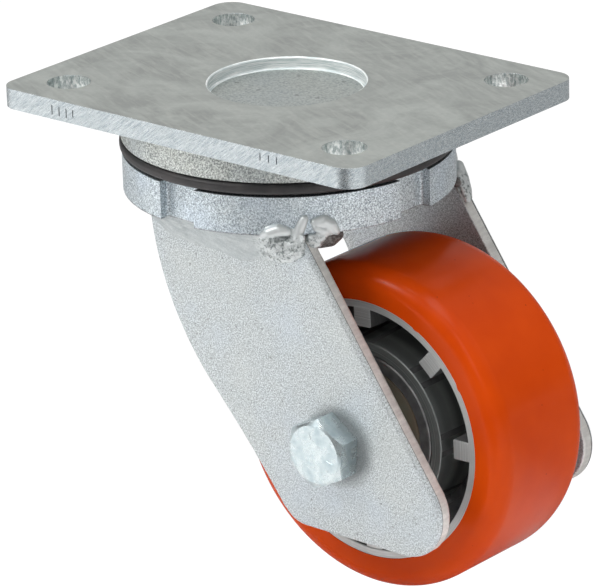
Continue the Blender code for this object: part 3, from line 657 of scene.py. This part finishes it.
def bolt_paint():
    """Bright zinc-plated fastener with a bluish cast and small dents."""
    paint = Paint("zinc_bolt", metallic=0.95)
    cloud = paint.noise(3.5, rough=0.55)
    dents = paint.noise(1.1, 2)
    paint.base(cloud, 0.3, 0.7, (0.47, 0.56, 0.59), (0.70, 0.76, 0.765))
    paint.coat(dents, 0.6, 0.72, 0.5, (0.42, 0.48, 0.50))
    return paint.done(cloud, (0.34, 0.22), (dents, 0.012), (cloud, 0.02))


def steel_paint(name, dark, light, rough=0.3):
    """Ground steel with a faint cloudiness."""
    paint = Paint(name, metallic=0.9)
    cloud = paint.noise(4)
    paint.base(cloud, 0.3, 0.7, dark, light)
    return paint.done(cloud, (rough * 1.25, rough * 0.8), (cloud, 0.02))


def shield_paint():
    """The bearing's sheet shield: olive brown, redder towards its rim."""
    paint = Paint("shield_sheet", metallic=0.7)
    cloud = paint.noise(5)
    paint.base(paint.radius(), 15, 18.4, (0.30, 0.29, 0.20), (0.44, 0.36, 0.26))
    paint.coat(cloud, 0.35, 0.7, 0.5, (0.36, 0.37, 0.30))
    return paint.done(cloud, (0.45, 0.3), (cloud, 0.04))


def rubber_paint():
    """Black rubber, dulled by handling, with a faint moulding grain and pale specks."""
    paint = Paint("seal_rubber")
    grain = paint.noise(0.7, rough=0.6)
    dust = paint.noise(9, 4, 0.6)
    paint.base(dust, 0.42, 0.7, (0.022, 0.021, 0.022), (0.050, 0.044, 0.044))
    paint.coat(grain, 0.66, 0.74, 0.5, (0.16, 0.17, 0.18))
    return paint.done(dust, (0.42, 0.6), (grain, 0.03))


def tread_paint():
    """Cast orange polyurethane: semi-gloss, with slow waves, faint rings and tiny flecks."""
    paint = Paint("tread_urethane", Specular_IOR_Level=0.11)
    cloud = paint.noise(24)
    paint.base(cloud, 0.3, 0.7, (0.57, 0.050, 0.001), (0.66, 0.066, 0.002))
    paint.coat(paint.cells(6), 0.045, 0.025, 0.8, (0.20, 0.015, 0.0))
    return paint.done(cloud, (0.2, 0.27), (cloud, 0.12), (paint.rings(0.8, 3.0), 0.012))


def cast_paint():
    """Raw cast aluminium: grey, kept dark as painted shade for the hollow web, slightly rough, with flow
    marks.
    """
    paint = Paint("core_cast", metallic=0.4)
    cloud = paint.noise(8, 4, 0.6, bend=0.8)
    grain = paint.noise(0.6, rough=0.6)
    # Painted shade: the cast grey is much darker than bare aluminium, standing for the shade inside the
    # wheel's hollow web.
    paint.base(cloud, 0.3, 0.7, (0.07, 0.07, 0.072), (0.17, 0.17, 0.17))
    paint.coat(grain, 0.3, 0.7, 0.4, (0.15, 0.15, 0.15))
    return paint.done(cloud, (0.58, 0.44), (cloud, 0.08), (grain, 0.03))


def studio_paint(name, size, dark, light, **sockets):
    """A dull grey surface of the studio, with hardly visible clouds."""
    paint = Paint(name, Roughness=0.9, **sockets)
    tone = paint.mix(paint.noise(size, 2), (dark, dark, dark), (light, light, light))
    paint.tree.links.new(tone, paint.shader.inputs["Base Color"])
    return paint.mat


# ---------------------------------------------------------------- pieces

def rounded_rectangle(length, width, radius, steps):
    """The outline of a rectangle with round corners, about the origin."""
    outline = []
    for quarter, (side_x, side_y) in enumerate(((1, 1), (-1, 1), (-1, -1), (1, -1))):
        centre = (side_x * (length / 2 - radius), side_y * (width / 2 - radius))
        outline += arc(centre, radius, 90 * quarter, 90 * quarter + 90, steps)
    return outline


def make_plate(*paints):
    """The top plate with its boss, as one forging."""
    length, width = PLATE_HIGH.x - PLATE_LOW.x, PLATE_HIGH.y - PLATE_LOW.y
    outlines = [rounded_rectangle(length, width, PLATE_CORNER, 16)]
    for side_x in (-1, 1):
        for side_y in (-1, 1):
            outlines.append(circle((side_x * HOLE_X, side_y * HOLE_Y), HOLE_RADIUS, 48))
    plate = slab("plate_forging", outlines, PLATE_THICKNESS, paints)
    bevel(plate, 1.1 * MM, 5)
    move(plate, Matrix.Translation((0, 0, -PLATE_THICKNESS / 2)))
    bottom, race_top = PLATE_LOW.z, PLATE_LOW.z + RACE_DEPTH
    root, flare, round_edge = -PLATE_THICKNESS * 0.7, 2.2 * MM, 0.5 * MM
    profile = [(0, root), (BOSS_RADIUS + flare, root)]
    profile += arc((BOSS_RADIUS + flare, -PLATE_THICKNESS - flare), flare, 90, 180, 8)
    profile += arc((BOSS_RADIUS - round_edge, bottom + round_edge), round_edge, 0, -90, 4)
    profile += [
        (RACE_OUTER + GAP, bottom), (RACE_OUTER + GAP, race_top),
        (RACE_INNER - GAP, race_top), (RACE_INNER - GAP, bottom),
        (PIN_POCKET, bottom), (PIN_POCKET, PIN_POCKET_TOP), (0, PIN_POCKET_TOP),
    ]
    combine(plate, lathe("boss", profile, 160), "UNION")
    lip, foot = 0.7 * MM, 0.9 * MM
    profile = [(0, MM), (RECESS_RADIUS + lip, MM)]
    profile += arc((RECESS_RADIUS + lip, -lip), lip, 90, 180, 5)
    profile += arc((RECESS_RADIUS - foot, -RECESS_DEPTH + foot), foot, 0, -90, 5)
    profile += [(0, -RECESS_DEPTH)]
    combine(plate, lathe("recess", profile, 128), "DIFFERENCE")
    nicks = []
    for x, top, length in NICKS:
        low = (x * MM, PLATE_LOW.y - MM, (top - length) * MM)
        high = ((x + 0.4) * MM, PLATE_LOW.y + 0.3 * MM, top * MM)
        nicks.append(block("nick", low, high))
    combine(plate, joined("nicks", nicks), "DIFFERENCE")
    sheet, edge, boss, floor, hole_wall, recess_wall, nick_floor = range(7)

    def rule(centre, normal):
        radius = math.hypot(centre.x, centre.y)
        hole = math.hypot(abs(centre.x) - HOLE_X, abs(centre.y) - HOLE_Y)
        between_faces = -0.15 * MM > centre.z > -PLATE_THICKNESS + 0.15 * MM
        if hole < HOLE_RADIUS + 0.2 * MM and between_faces:
            return hole_wall
        if radius < RECESS_RADIUS + MM and -0.05 * MM > centre.z > -RECESS_DEPTH - 0.1 * MM:
            return floor if abs(normal.z) > 0.95 else recess_wall
        if radius < BOSS_RADIUS + 3 * MM and centre.z < -PLATE_THICKNESS - 0.02 * MM:
            return boss
        if abs(normal.z) > 0.85:
            return sheet
        sunk = PLATE_LOW.y + 0.02 * MM < centre.y < PLATE_LOW.y + MM and abs(centre.x) < 60 * MM
        return nick_floor if between_faces and sunk else edge

    paint_faces(plate, rule)
    install(plate, "plate", "top_plate", 32)


def make_seal(paint):
    """The rubber ring between boss and crown."""
    outer, fillets = SEAL_HIGH.x, (1.2, 1.5, 0.4, 0.4)
    profile = sleeve(outer, outer - 5.5 * MM, SEAL_LOW.z, SEAL_HIGH.z, fillets, taper=0.1 * MM)
    install(lathe("seal_ring", profile, 192, [paint]), "plate", "swivel_seal", 60)


def ring_outline():
    """The crown ring's outline: a circle with a flat-bottomed notch on each side."""
    half = math.degrees(math.asin(NOTCH_WIDTH / 2 / CROWN_RADIUS))
    floor, fillet = CROWN_RADIUS - NOTCH_DEPTH, 1.1 * MM
    foot = arc((floor + fillet, NOTCH_WIDTH / 2 - fillet), fillet, 180, 90, 4)
    notch = [(x, -y) for x, y in reversed(foot)] + foot
    outline = []
    for quarter in range(4):
        start = 90 * quarter + NOTCH_TURN
        turn = Matrix.Rotation(math.radians(start), 2)
        outline += [tuple(turn @ Vector(point)) for point in notch]
        outline += arc((0, 0), CROWN_RADIUS, start + half, start + 90 - half, 36)
    return outline


def make_crown(paint):
    """The notched ring with its hub and race pockets."""
    top, bottom, foot = CROWN_HIGH.z, CROWN_BOTTOM, CROWN_LOW.z
    bore = 11.2 * MM
    crown = slab("crown_ring", [ring_outline(), circle((0, 0), bore, 64)], top - bottom, [paint])
    bevel(crown, 0.7 * MM)
    move(crown, Matrix.Translation((0, 0, (top + bottom) / 2)))
    hub = sleeve(HUB_RADIUS, bore, foot, bottom + MM, (0, 0.8, 0.1, 0))
    combine(crown, lathe("hub", hub, 96), "UNION")
    pockets = (
        (CUP_RADIUS, foot - MM, bottom - 0.5 * MM, 0),
        (RACE_INNER - GAP, top - 2.9 * MM, top + MM, 0),
        (RACE_OUTER + GAP, top - RACE_DEPTH - GAP, top + MM, RACE_INNER - GAP),
    )
    for radius, low, high, inner in pockets:
        combine(crown, lathe("pocket", sleeve(radius, inner, low, high, (0, 0, 0, 0)), 96), "DIFFERENCE")
    install(crown, "fork", "fork_crown", 32)


def leg_outline(side_name):
    """A leg's outline in (x, z), anticlockwise from the rear top corner.

    The left leg's rear edge bulges and then turns hollow. The right leg's is straight.
    """
    (centre_x, centre_z), radius = REAR_ARC
    top, slope = LEG_HIGH.z, REAR_SLOPES[side_name]
    start = 180 + math.degrees(math.asin((centre_z - top) / radius))
    outline = arc((centre_x, centre_z), radius, start, REAR_ARC_END, 30)
    if side_name == "left":
        end, reach = math.radians(REAR_ARC_END), radius + REAR_HOLLOW
        hollow = (centre_x + reach * math.cos(end), centre_z + reach * math.sin(end))
        outline += arc(hollow, REAR_HOLLOW, REAR_ARC_END - 180, slope - 180, 8)[1:]
    else:
        outline = outline[:1]
    outline += arc(*HEEL_ARC, slope, 270, 12)
    outline += arc(*TOE_ARC, 270, 360 + FRONT_SLOPE, 32)
    x, z = outline[-1]
    outline.append((x - (top - z) * math.tan(math.radians(FRONT_SLOPE)), top))
    return outline


def divided(outline, step):
    """The same closed outline with its long edges cut into steps."""
    points = []
    for start, end in zip(outline, outline[1:] + outline[:1]):
        start, end = Vector(start), Vector(end)
        cuts = max(math.ceil((end - start).length / step), 1)
        points += [start.lerp(end, k / cuts) for k in range(cuts)]
    return points


def outward_normals(points):
    """The outward direction at each point of a closed anticlockwise outline, longer at its corners."""
    normals = []
    for before, here, after in zip(points[-1:] + points[:-1], points, points[1:] + points[:1]):
        first, second = (here - before).normalized(), (after - here).normalized()
        first, second = Vector((first.y, -first.x)), Vector((second.y, -second.x))
        middle = (first + second).normalized()
        normals.append(middle / max(middle.dot(first), 0.5))
    return normals


def make_leg(side_name, side, *paints):
    """One flat punched leg: its edge is rolled over outside, has a seam, and is torn further in."""
    outline = divided(leg_outline(side_name), 1.1 * MM)
    normals = outward_normals(outline)
    shape = bmesh.new()
    rings = []
    for inset, depth, ragged, _ in LEG_LEVELS:
        y = side * (LEG_HIGH.y - depth * MM)
        ring = []
        for point, normal in zip(outline, normals):
            place = Vector((point.x / MM / 0.9, point.y / MM / 0.9, depth * 0.45 + side))
            out = ragged * noise.noise(place) + 0.5 * ragged * noise.noise(place * 2.7)
            x, z = point + normal * (out - inset) * MM
            ring.append(shape.verts.new((x, y, min(z, LEG_HIGH.z))))
        rings.append(ring)
    for row, (_, _, _, paint_number) in zip(skin(shape, rings), LEG_LEVELS):
        for face in row:
            face.material_index = paint_number
    leg = from_shape("leg_" + side_name, shape, paints)
    drill = rod("drill", BOLT_RADIUS + GAP, -LEG_THICKNESS, LEG_THICKNESS, 48)
    middle = Vector((AXLE.x, side * (LEG_LOW.y + LEG_HIGH.y) / 2, AXLE.z))
    move(drill, Matrix.Translation(middle) @ ALONG_AXLE)
    combine(leg, drill, "DIFFERENCE")
    install(leg, "fork", "fork_leg_" + side_name, 50)


def between(points, x):
    """The value at x on a smooth line through (x, value) points."""
    for (x0, v0), (x1, v1) in zip(points, points[1:]):
        if x <= x1:
            t = max((x - x0) / (x1 - x0), 0)
            return v0 + (v1 - v0) * t * t * (3 - 2 * t)
    return points[-1][1]


def add_beads(shape, side, beads):
    """Lay runs of weld metal. A bead is (x, distance from the middle, z, radius) points in millimetres."""
    ball = bmesh.new()
    bmesh.ops.create_uvsphere(ball, u_segments=16, v_segments=10, radius=1)
    for bead in beads:
        for first, second in zip(bead, bead[1:]):
            first, second = Vector(first), Vector(second)
            steps = math.ceil((second - first).xyz.length / (0.45 * min(first.w, second.w)))
            for k in range(steps + 1):
                x, y, z, radius = first.lerp(second, k / steps)
                centre = Vector((x, side * y, z))
                verts = [shape.verts.new((centre + vert.co * radius) * MM) for vert in ball.verts]
                for face in ball.faces:
                    shape.faces.new([verts[vert.index] for vert in face.verts])
    ball.free()


def fused(name, shape, rounds, paint):
    """One smooth object whose overlapping lumps have run together."""
    obj = from_shape(name, shape, [paint])
    modify(obj, "REMESH", mode="VOXEL", voxel_size=0.3 * MM)
    modify(obj, "SMOOTH", factor=0.5, iterations=rounds)
    obj.data.shade_smooth()
    return obj


def pit(place, seed):
    """How deep the pitted end of the outer weld is at a place, in millimetres."""
    (middle_x, middle_z), (size_x, size_z) = PIT_MIDDLE, PIT_SIZE
    away = ((place.x - middle_x) / size_x) ** 2 + ((place.z - middle_z) / size_z) ** 2
    share = math.exp(-(away ** 2))
    if abs(place.y) < PIT_NEAREST or share < 0.02:
        return 0
    near = noise.voronoi(place / 1.75 + seed)[0]
    return share * (0.25 + 0.85 * max(1 - near[0] / 0.55, 0) - 0.35 * max(1 - (near[1] - near[0]) / 0.2, 0))


def make_weld(side_name, side, paint):
    """The outer weld of a leg: a dressed fillet, then a pitted end and smooth beads round the corner."""
    root = LEG_HIGH.y / MM
    rear, front, steps, across = FILLET_FOOT[0][0], FILLET_FOOT[-1][0], 60, 10
    shape = bmesh.new()
    rings = []
    for i in range(steps + 1):
        x = rear + (front - rear) * i / steps
        top, foot = between(FILLET_TOP, x), between(FILLET_FOOT, x)
        if NOTCH_SPAN[0] < x < NOTCH_SPAN[1]:
            reach = (CROWN_RADIUS - NOTCH_DEPTH) / MM - root + 0.2
        else:
            reach = max(math.sqrt(max((CROWN_RADIUS / MM) ** 2 - x * x, 0)) - root + 0.2, 0.8)
        ring = [(x, root - 0.5, top)]
        for k in range(across + 1):
            s = k / across
            hollow = 0.30 * math.sin(math.pi * s)
            ring.append((x, root + reach * (1 - s) * (1 - hollow), top + (foot - top) * s * (1 - hollow)))
        ring.append((x, root - 0.5, foot))
        rings.append([shape.verts.new((x * MM, side * y * MM, z * MM)) for x, y, z in ring])
    skin(shape, rings)
    add_beads(shape, side, WELD_BEADS[side_name])
    weld = fused("weld_run_" + side_name, shape, 5, paint)
    seed = Vector((3.1, 7.7 * side, 1.3))
    low, high = cad_box
    normals = [vertex.normal.copy() for vertex in weld.data.vertices]
    for vertex, normal in zip(weld.data.vertices, normals):
        place = vertex.co / MM
        loose = min(max((place.x - 10) / 8, 0.25), 1)
        swell = (0.16 * noise.noise(place / 4.5 + seed) + 0.03 * noise.noise(place / 1.6 + seed)) * loose
        moved = vertex.co + normal * (swell - pit(place, seed)) * MM
        vertex.co = [min(max(moved[axis], low[axis]), high[axis]) for axis in range(3)]
    install(weld, "fork", "weld_outer_" + side_name)


def make_inner_weld(side_name, side, paint):
    """The rippled bead between a leg's inner face and the crown, with its round front end."""
    low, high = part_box("weld_inner_" + side_name)
    steps, across = 120, 8
    shape = bmesh.new()
    rings = []
    for i in range(steps + 1):
        t = i / steps
        x = low.x + (high.x - low.x) * t
        taper = min(1, 7 * t + 0.25, 7 * (1 - t) + 0.25)
        sway = 1.5 * noise.noise(Vector((x / MM / 4, 0, side)))
        ripple = 1 + 0.06 * math.sin(math.tau * (x / MM) / 1.9 + sway)
        radius = (high.z - low.z) * taper * ripple
        ring = [shape.verts.new((x, side * (LEG_LOW.y + 0.2 * MM), CROWN_BOTTOM + 0.2 * MM))]
        for k in range(across + 1):
            angle = math.pi / 2 * k / across
            bulge = radius * (0.72 + 0.22 * math.cos(4 * angle))
            out, down = bulge * math.cos(angle), bulge * math.sin(angle)
            ring.append(shape.verts.new((x, side * (LEG_LOW.y - out), CROWN_BOTTOM - down)))
        rings.append(ring)
    skin(shape, rings)
    add_beads(shape, side, [INNER_BEAD[side_name]])
    bead = fused("weld_bead_" + side_name, shape, 2, paint)
    install(bead, "fork", "weld_inner_" + side_name)


def rod(name, radius, low, high, steps):
    """A plain rod along Z, for cutting."""
    return lathe(name, [(0, high), (radius, high), (radius, low), (0, low)], steps)


def hexagon(name, low, high, paint, face_high=True):
    """A hexagonal prism along Z whose end corners are turned off at 30 degrees."""
    corner = HEXAGON / math.sqrt(3)
    prism = slab(name, [circle((0, 0), corner, 6)], high - low, [paint])
    move(prism, Matrix.Translation((0, 0, (low + high) / 2)))
    face, wide = HEXAGON * 0.465, corner * 1.05
    slope = (wide - face) * math.tan(math.radians(30))
    profile = [(0, high), (face, high), (wide, high - slope)] if face_high else [(0, high), (wide, high)]
    profile += [(wide, low + slope), (face, low), (0, low)]
    combine(prism, lathe("cone", profile, 96), "INTERSECT")
    bevel(prism, 0.2 * MM, 2, angle=24)
    return prism


def make_bolt(paint):
    """The axle bolt: a hexagon head with three raised dashes, its shank and a threaded tip."""
    head_low, head_high, tip = BOLT_LOW.y, -LEG_HIGH.y - 0.05 * MM, BOLT_HIGH.y
    bolt = hexagon("bolt_head", head_low, head_high, paint, face_high=False)
    for i in range(3):
        low, high = (4.6 * MM, -0.35 * MM, head_low - 0.12 * MM), (7 * MM, 0.35 * MM, head_low + MM)
        mark = move(block("mark", low, high), rotation(120 * i + 40))
        bevel(mark, 0.1 * MM, 1)
        combine(bolt, mark, "UNION")
    radius, pitch, thread = BOLT_RADIUS, 1.75 * MM, 14 * MM
    profile = [(0, tip), (radius - 1.1 * MM, tip), (radius - 0.15 * MM, tip - MM)]
    z = tip - 1.2 * MM
    while z > tip - thread:
        profile += [(radius, z), (radius, z - 0.25 * MM), (radius - 0.95 * MM, z - pitch / 2)]
        z -= pitch
    profile += [(radius, z), (radius, head_high - MM), (0, head_high - MM)]
    combine(bolt, lathe("shank", profile, 64), "UNION")
    move(bolt, rotation(-26))
    install(bolt, "fork", "axle_bolt", 28, on_axle=True)


def make_lock_nut(paint):
    """The lock nut, with the rolled collar that holds its locking ring."""
    low, high = LOCK_LOW.y, LOCK_HIGH.y
    hex_high, collar = low + 10 * MM, 8.1 * MM
    nut = hexagon("lock_nut", low, hex_high, paint)
    profile = rounded([
        (collar, hex_high - 0.6 * MM, 0), (5.5 * MM, hex_high - 0.6 * MM, 0),
        (6.6 * MM, high, 0.5 * MM), (collar - 0.3 * MM, high, 0.9 * MM),
    ])
    combine(nut, lathe("collar", profile, 64), "UNION")
    combine(nut, rod("bore", BOLT_RADIUS + 0.12 * MM, low - MM, high + MM, 64), "DIFFERENCE")
    move(nut, rotation(-12))
    install(nut, "fork", "axle_nut", 28, on_axle=True)


def make_kingpin_nut(paint):
    """The round nut under the crown."""
    profile = sleeve(NUT_HIGH.x, 9.7 * MM, NUT_LOW.z, NUT_HIGH.z, (0.6, 1.8, 0.8, 0.2))
    install(lathe("pin_nut", profile, 96, [paint]), "plate", "kingpin_nut", 50)


def make_tyre(paint):
    """The tread, with round shoulders and a ragged lip of flash against the rim."""
    side, seat, edge = TYRE_HALF, CORE_RADIUS + 0.3 * MM, CORE_RADIUS - 0.1 * MM
    shoulder, lip = 6 * MM, 0.06 * MM
    profile = arc((WHEEL_RADIUS - shoulder, side - shoulder), shoulder, 90, 0, 12)
    profile += [(WHEEL_RADIUS, side * s) for s in (0.4, 0, -0.4)]
    profile += arc((WHEEL_RADIUS - shoulder, shoulder - side), shoulder, 0, -90, 12)
    first_lip = len(profile)
    profile += [(edge, -side), (edge, lip - side), (seat, lip - side)]
    profile += [(seat, side - lip), (edge, side - lip), (edge, side)]
    ragged = {first_lip, first_lip + 1, first_lip + 4, first_lip + 5}

    def wobble(number, turn, radius, z):
        if number not in ragged:
            return radius, z
        place = Vector((math.cos(turn) * 9, math.sin(turn) * 9, 5 * math.copysign(1, z)))
        tooth = max(noise.noise(place * 1.1) - 0.42, 0) * 2.2 + 0.05 * noise.noise(place * 4)
        return radius - tooth * MM, z

    tyre = lathe("tyre_tread", profile, 480, [paint], wobble)
    install(tyre, "wheel", "tyre", 40, on_axle=True)


def make_core(*paints):
    """The wheel's core: rim, web and hub, with stepped ribs between them."""
    rim, hub, web, half = 37.5 * MM, 27.4 * MM, 3.5 * MM, CORE_HALF
    seat, seat_end, shoulder = 23.8 * MM, 6.1 * MM, 20.6 * MM
    upper = [
        (CORE_RADIUS, half, 0.25 * MM), (rim, half, 0.5 * MM), (rim - 0.9 * MM, web, 1.6 * MM),
        (hub + 0.9 * MM, web, 1.6 * MM), (hub, half, 0.4 * MM), (seat, half, 0.5 * MM),
        (seat, seat_end, 0.1 * MM), (shoulder, seat_end, 0.3 * MM),
    ]
    lower = [(radius, -z, fillet) for radius, z, fillet in reversed(upper)]
    core = lathe("core_casting", rounded(upper + lower, 4), 192, paints)
    block_end, step, rib_top = rim - 5.8 * MM, 8.5 * MM, half - 0.25 * MM
    outline = [
        (hub - 0.4 * MM, web - MM), (rim + 0.8 * MM, web - MM), (rim + 0.8 * MM, rib_top),
        (block_end, rib_top), (block_end - 0.3 * MM, step), (hub - 0.4 * MM, web + 0.6 * MM),
    ]
    ribs = []
    for face in (-1, 1):
        for i in range(8):
            rib = slab("rib", [[(radius, face * z) for radius, z in outline]], 6 * MM, paints)
            bevel(rib, 0.35 * MM, 2)
            ribs.append(move(rib, rotation(45 * i - 2) @ rotation(90, "X")))
    combine(core, joined("ribs", ribs), "UNION")
    cast, machined, bored = range(3)

    def rule(centre, normal):
        radius = math.hypot(centre.x, centre.y)
        face = abs(centre.z) > half - 0.6 * MM and abs(normal.z) > 0.35
        outer_cone = hub + 0.7 * MM > radius > seat and abs(centre.z) > 12.5 * MM
        if radius < hub + MM and (face or outer_cone or radius < seat + 0.1 * MM):
            return bored
        return machined if face else cast

    paint_faces(core, rule)
    install(core, "wheel", "wheel_core", 32, on_axle=True)


def make_bearing(side_name, side, steel, shield):
    """The visible parts of one ball bearing: both rings and the two shields."""
    centre = side * (CORE_HALF / MM - BEARING_HALF)
    for name, body in (("outer", "wheel"), ("inner", "fork")):
        corners = [(radius * MM, (z + centre) * MM, fillet * MM) for radius, z, fillet in RACES[name]]
        ring = lathe("race_" + name + "_" + side_name, rounded(corners, 4), 128, [steel])
        install(ring, body, "bearing_" + name + "_" + side_name, 40, on_axle=True)
    for face_name, face in (("out", side), ("in", -side)):
        level = centre + face * (BEARING_HALF - 0.25)
        profile = [(radius * MM, (level - face * depth) * MM) for radius, depth in SHIELD]
        name = "shield_" + side_name + "_" + face_name
        disc = lathe(name, profile, 128, [shield])
        install(disc, "wheel", "bearing_" + name, 40, on_axle=True)


def make_spacer(side_name, paint):
    """The distance sleeve between a bearing and its leg."""
    low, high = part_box("axle_spacer_" + side_name)
    profile = sleeve(13.6 * MM, 10.3 * MM, low.y, high.y, (0.5, 0.5, 0.3, 0.3))
    spacer = lathe("spacer_" + side_name, profile, 96, [paint])
    install(spacer, "fork", "axle_spacer_" + side_name, 50, on_axle=True)


# ---------------------------------------------------------------- studio

def towards(azimuth, elevation):
    """The direction from the object towards an azimuth and elevation, in degrees."""
    a, e = math.radians(azimuth), math.radians(elevation)
    return Vector((math.sin(a) * math.cos(e), -math.cos(a) * math.cos(e), math.sin(e)))


def make_floor():
    """A wide pale floor under the wheel."""
    bpy.ops.mesh.primitive_plane_add(size=14, location=(0, 0, FLOOR_Z - 0.2 * MM))
    floor = bpy.context.object
    floor.name = "studio_floor"
    glow = {"Emission_Color": (1, 1, 1, 1), "Emission_Strength": 0.95}
    floor.data.materials.append(studio_paint("studio_floor", 400, 0.10, 0.11, **glow))


def soft_light(name, azimuth, elevation, distance, width, power, tall):
    """An area light that looks at the object. tall is its height over its width."""
    data = bpy.data.lights.new(name, "AREA")
    data.shape = "RECTANGLE"
    data.size, data.size_y = width, width * tall
    data.energy = power
    lamp = new_object(name, data)
    back = towards(azimuth, elevation)
    lamp.location = CAMERA_AIM + back * distance
    lamp.rotation_mode = "QUATERNION"
    lamp.rotation_quaternion = (-back).to_track_quat("-Z", "Y")


def make_world():
    """Studio surroundings: a grey wall that brightens towards the ceiling."""
    world = bpy.data.worlds.new("studio")
    bpy.context.scene.world = world
    world.use_nodes = True
    tree = world.node_tree
    height = shader_node(tree, "SeparateXYZ", "Z", {"Vector": shader_node(tree, "TexCoord", "Generated", {})})
    share = shader_node(tree, "MapRange", "Result", {"Value": height, "From Min": -1})
    colour = shader_node(tree, "ValToRGB", "Color", {"Fac": share})
    elements = colour.node.color_ramp.elements
    while len(elements) < len(SKY):
        elements.new(0.5)
    for element, (elevation, value) in zip(elements, SKY):
        element.position = 0.5 + 0.5 * math.sin(math.radians(elevation))
        element.color = (value, value, value, 1)
    tree.links.new(colour, tree.nodes["Background"].inputs["Color"])


def make_card(name, start, end, near, far, tone):
    """A sector of grey card on the floor, unseen by the camera: it shades the light the floor gives back."""
    steps, level = 16, Vector((0, 0, FLOOR_Z - 0.1 * MM))
    shape = bmesh.new()
    rows = []
    for i in range(steps + 1):
        out = towards(start + (end - start) * i / steps, 0)
        rows.append([shape.verts.new(out * reach + level) for reach in (max(near, MM), far)])
    for row, following in zip(rows, rows[1:]):
        shape.faces.new((row[0], row[1], following[1], following[0]))
    card = from_shape(name, shape, [studio_paint(name, 300, tone, 1.1 * tone)])
    card.visible_camera = False
    card.visible_shadow = False


def make_camera():
    """The camera, at the viewing angle of the reference view."""
    back, right = towards(CAMERA_AZIMUTH, CAMERA_ELEVATION), towards(CAMERA_AZIMUTH + 90, 0)
    data = bpy.data.cameras.new("camera")
    data.lens = CAMERA_LENS
    data.sensor_width = 36
    data.clip_end = 50
    camera = new_object("camera", data)
    turn = Matrix((right, back.cross(right), back)).transposed().to_4x4() @ rotation(CAMERA_ROLL)
    camera.matrix_world = Matrix.Translation(CAMERA_AIM + back * CAMERA_DISTANCE) @ turn
    bpy.context.scene.camera = camera


# ---------------------------------------------------------------- build

# Painted shadow and scuff on the legs round the bolt head, centred 3 mm right of the axle, towards the head's
# shadow.
scuff_and_shadow = ((AXLE.x + 3 * MM) / MM, (AXLE.z + 0.5 * MM) / MM)
grain = grain_paint("zinc_blasted", (0.34, 0.37, 0.38), (0.77, 0.81, 0.82), size=0.42, scuff_and_shadow=scuff_and_shadow)
# The ring's lowest edge, from z -30.2 down to -30.9 mm, carries painted shade in dark red-brown.
ring_grain = grain_paint("zinc_ring", (0.28, 0.33, 0.365), (0.86, 0.92, 0.95), 0.95, size=0.45, shade_line_z=-30.9)
boss_grain = grain_paint("zinc_forged", (0.22, 0.24, 0.235), (0.76, 0.79, 0.76), depth=0.06)
dark_grain = grain_paint("zinc_shaded", (0.30, 0.28, 0.27), (0.50, 0.48, 0.47))
# Painted shade: the seam groove along the leg's edge is coloured near black for the shade in it.
seam = grain_paint("leg_seam", (0.10, 0.09, 0.085), (0.20, 0.185, 0.175), 0.3)
nick = grain_paint("plate_nick", (0.17, 0.19, 0.20), (0.32, 0.35, 0.37), 0.4)
weld_metal = weld_paint()
shaded_weld = shaded_weld_paint()
bolt_zinc = bolt_paint()
steel = steel_paint("steel_ground", (0.34, 0.34, 0.35), (0.52, 0.52, 0.54))
race_steel = steel_paint("steel_race", (0.22, 0.22, 0.22), (0.38, 0.38, 0.38), 0.4)
recess_zinc = grain_paint("zinc_recess", (0.29, 0.315, 0.305), (0.42, 0.445, 0.43), 0.8, 0.015, 0.8)
make_plate(plate_top_paint(), plate_edge_paint(), boss_grain, recess_zinc, wall_paint(), band_paint(), nick)
make_seal(rubber_paint())
make_crown(ring_grain)
for side_name, side in SIDES:
    make_leg(side_name, side, grain, cut_edge_paint(), seam)
    make_weld(side_name, side, weld_metal)
    make_inner_weld(side_name, side, shaded_weld)
    make_bearing(side_name, side, race_steel, shield_paint())
    make_spacer(side_name, steel)
make_bolt(bolt_zinc)
make_lock_nut(bolt_zinc)
make_kingpin_nut(dark_grain)
make_tyre(tread_paint())
make_core(
    cast_paint(),
    turned_paint("core_machined", (0.46, 0.47, 0.465), (0.70, 0.71, 0.70)),
    turned_paint("core_bored", (0.20, 0.215, 0.21), (0.36, 0.38, 0.37), metallic=0.75),
)
for node in ("swivel_race_upper", "swivel_race_fork", "swivel_balls_upper", "swivel_balls_lower",
             "swivel_cone_lower", "swivel_cup_lower", "kingpin", "axle_tube",
             "bearing_balls_left", "bearing_balls_right"):
    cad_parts[node].data.materials.clear()
    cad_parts[node].data.materials.append(steel)

make_floor()
make_world()
for number, card in enumerate(CARDS):
    make_card("ground_card_%d" % number, *card)
for lamp in LAMPS:
    soft_light(*lamp)
make_camera()
bpy.context.scene.view_settings.view_transform = "Standard"
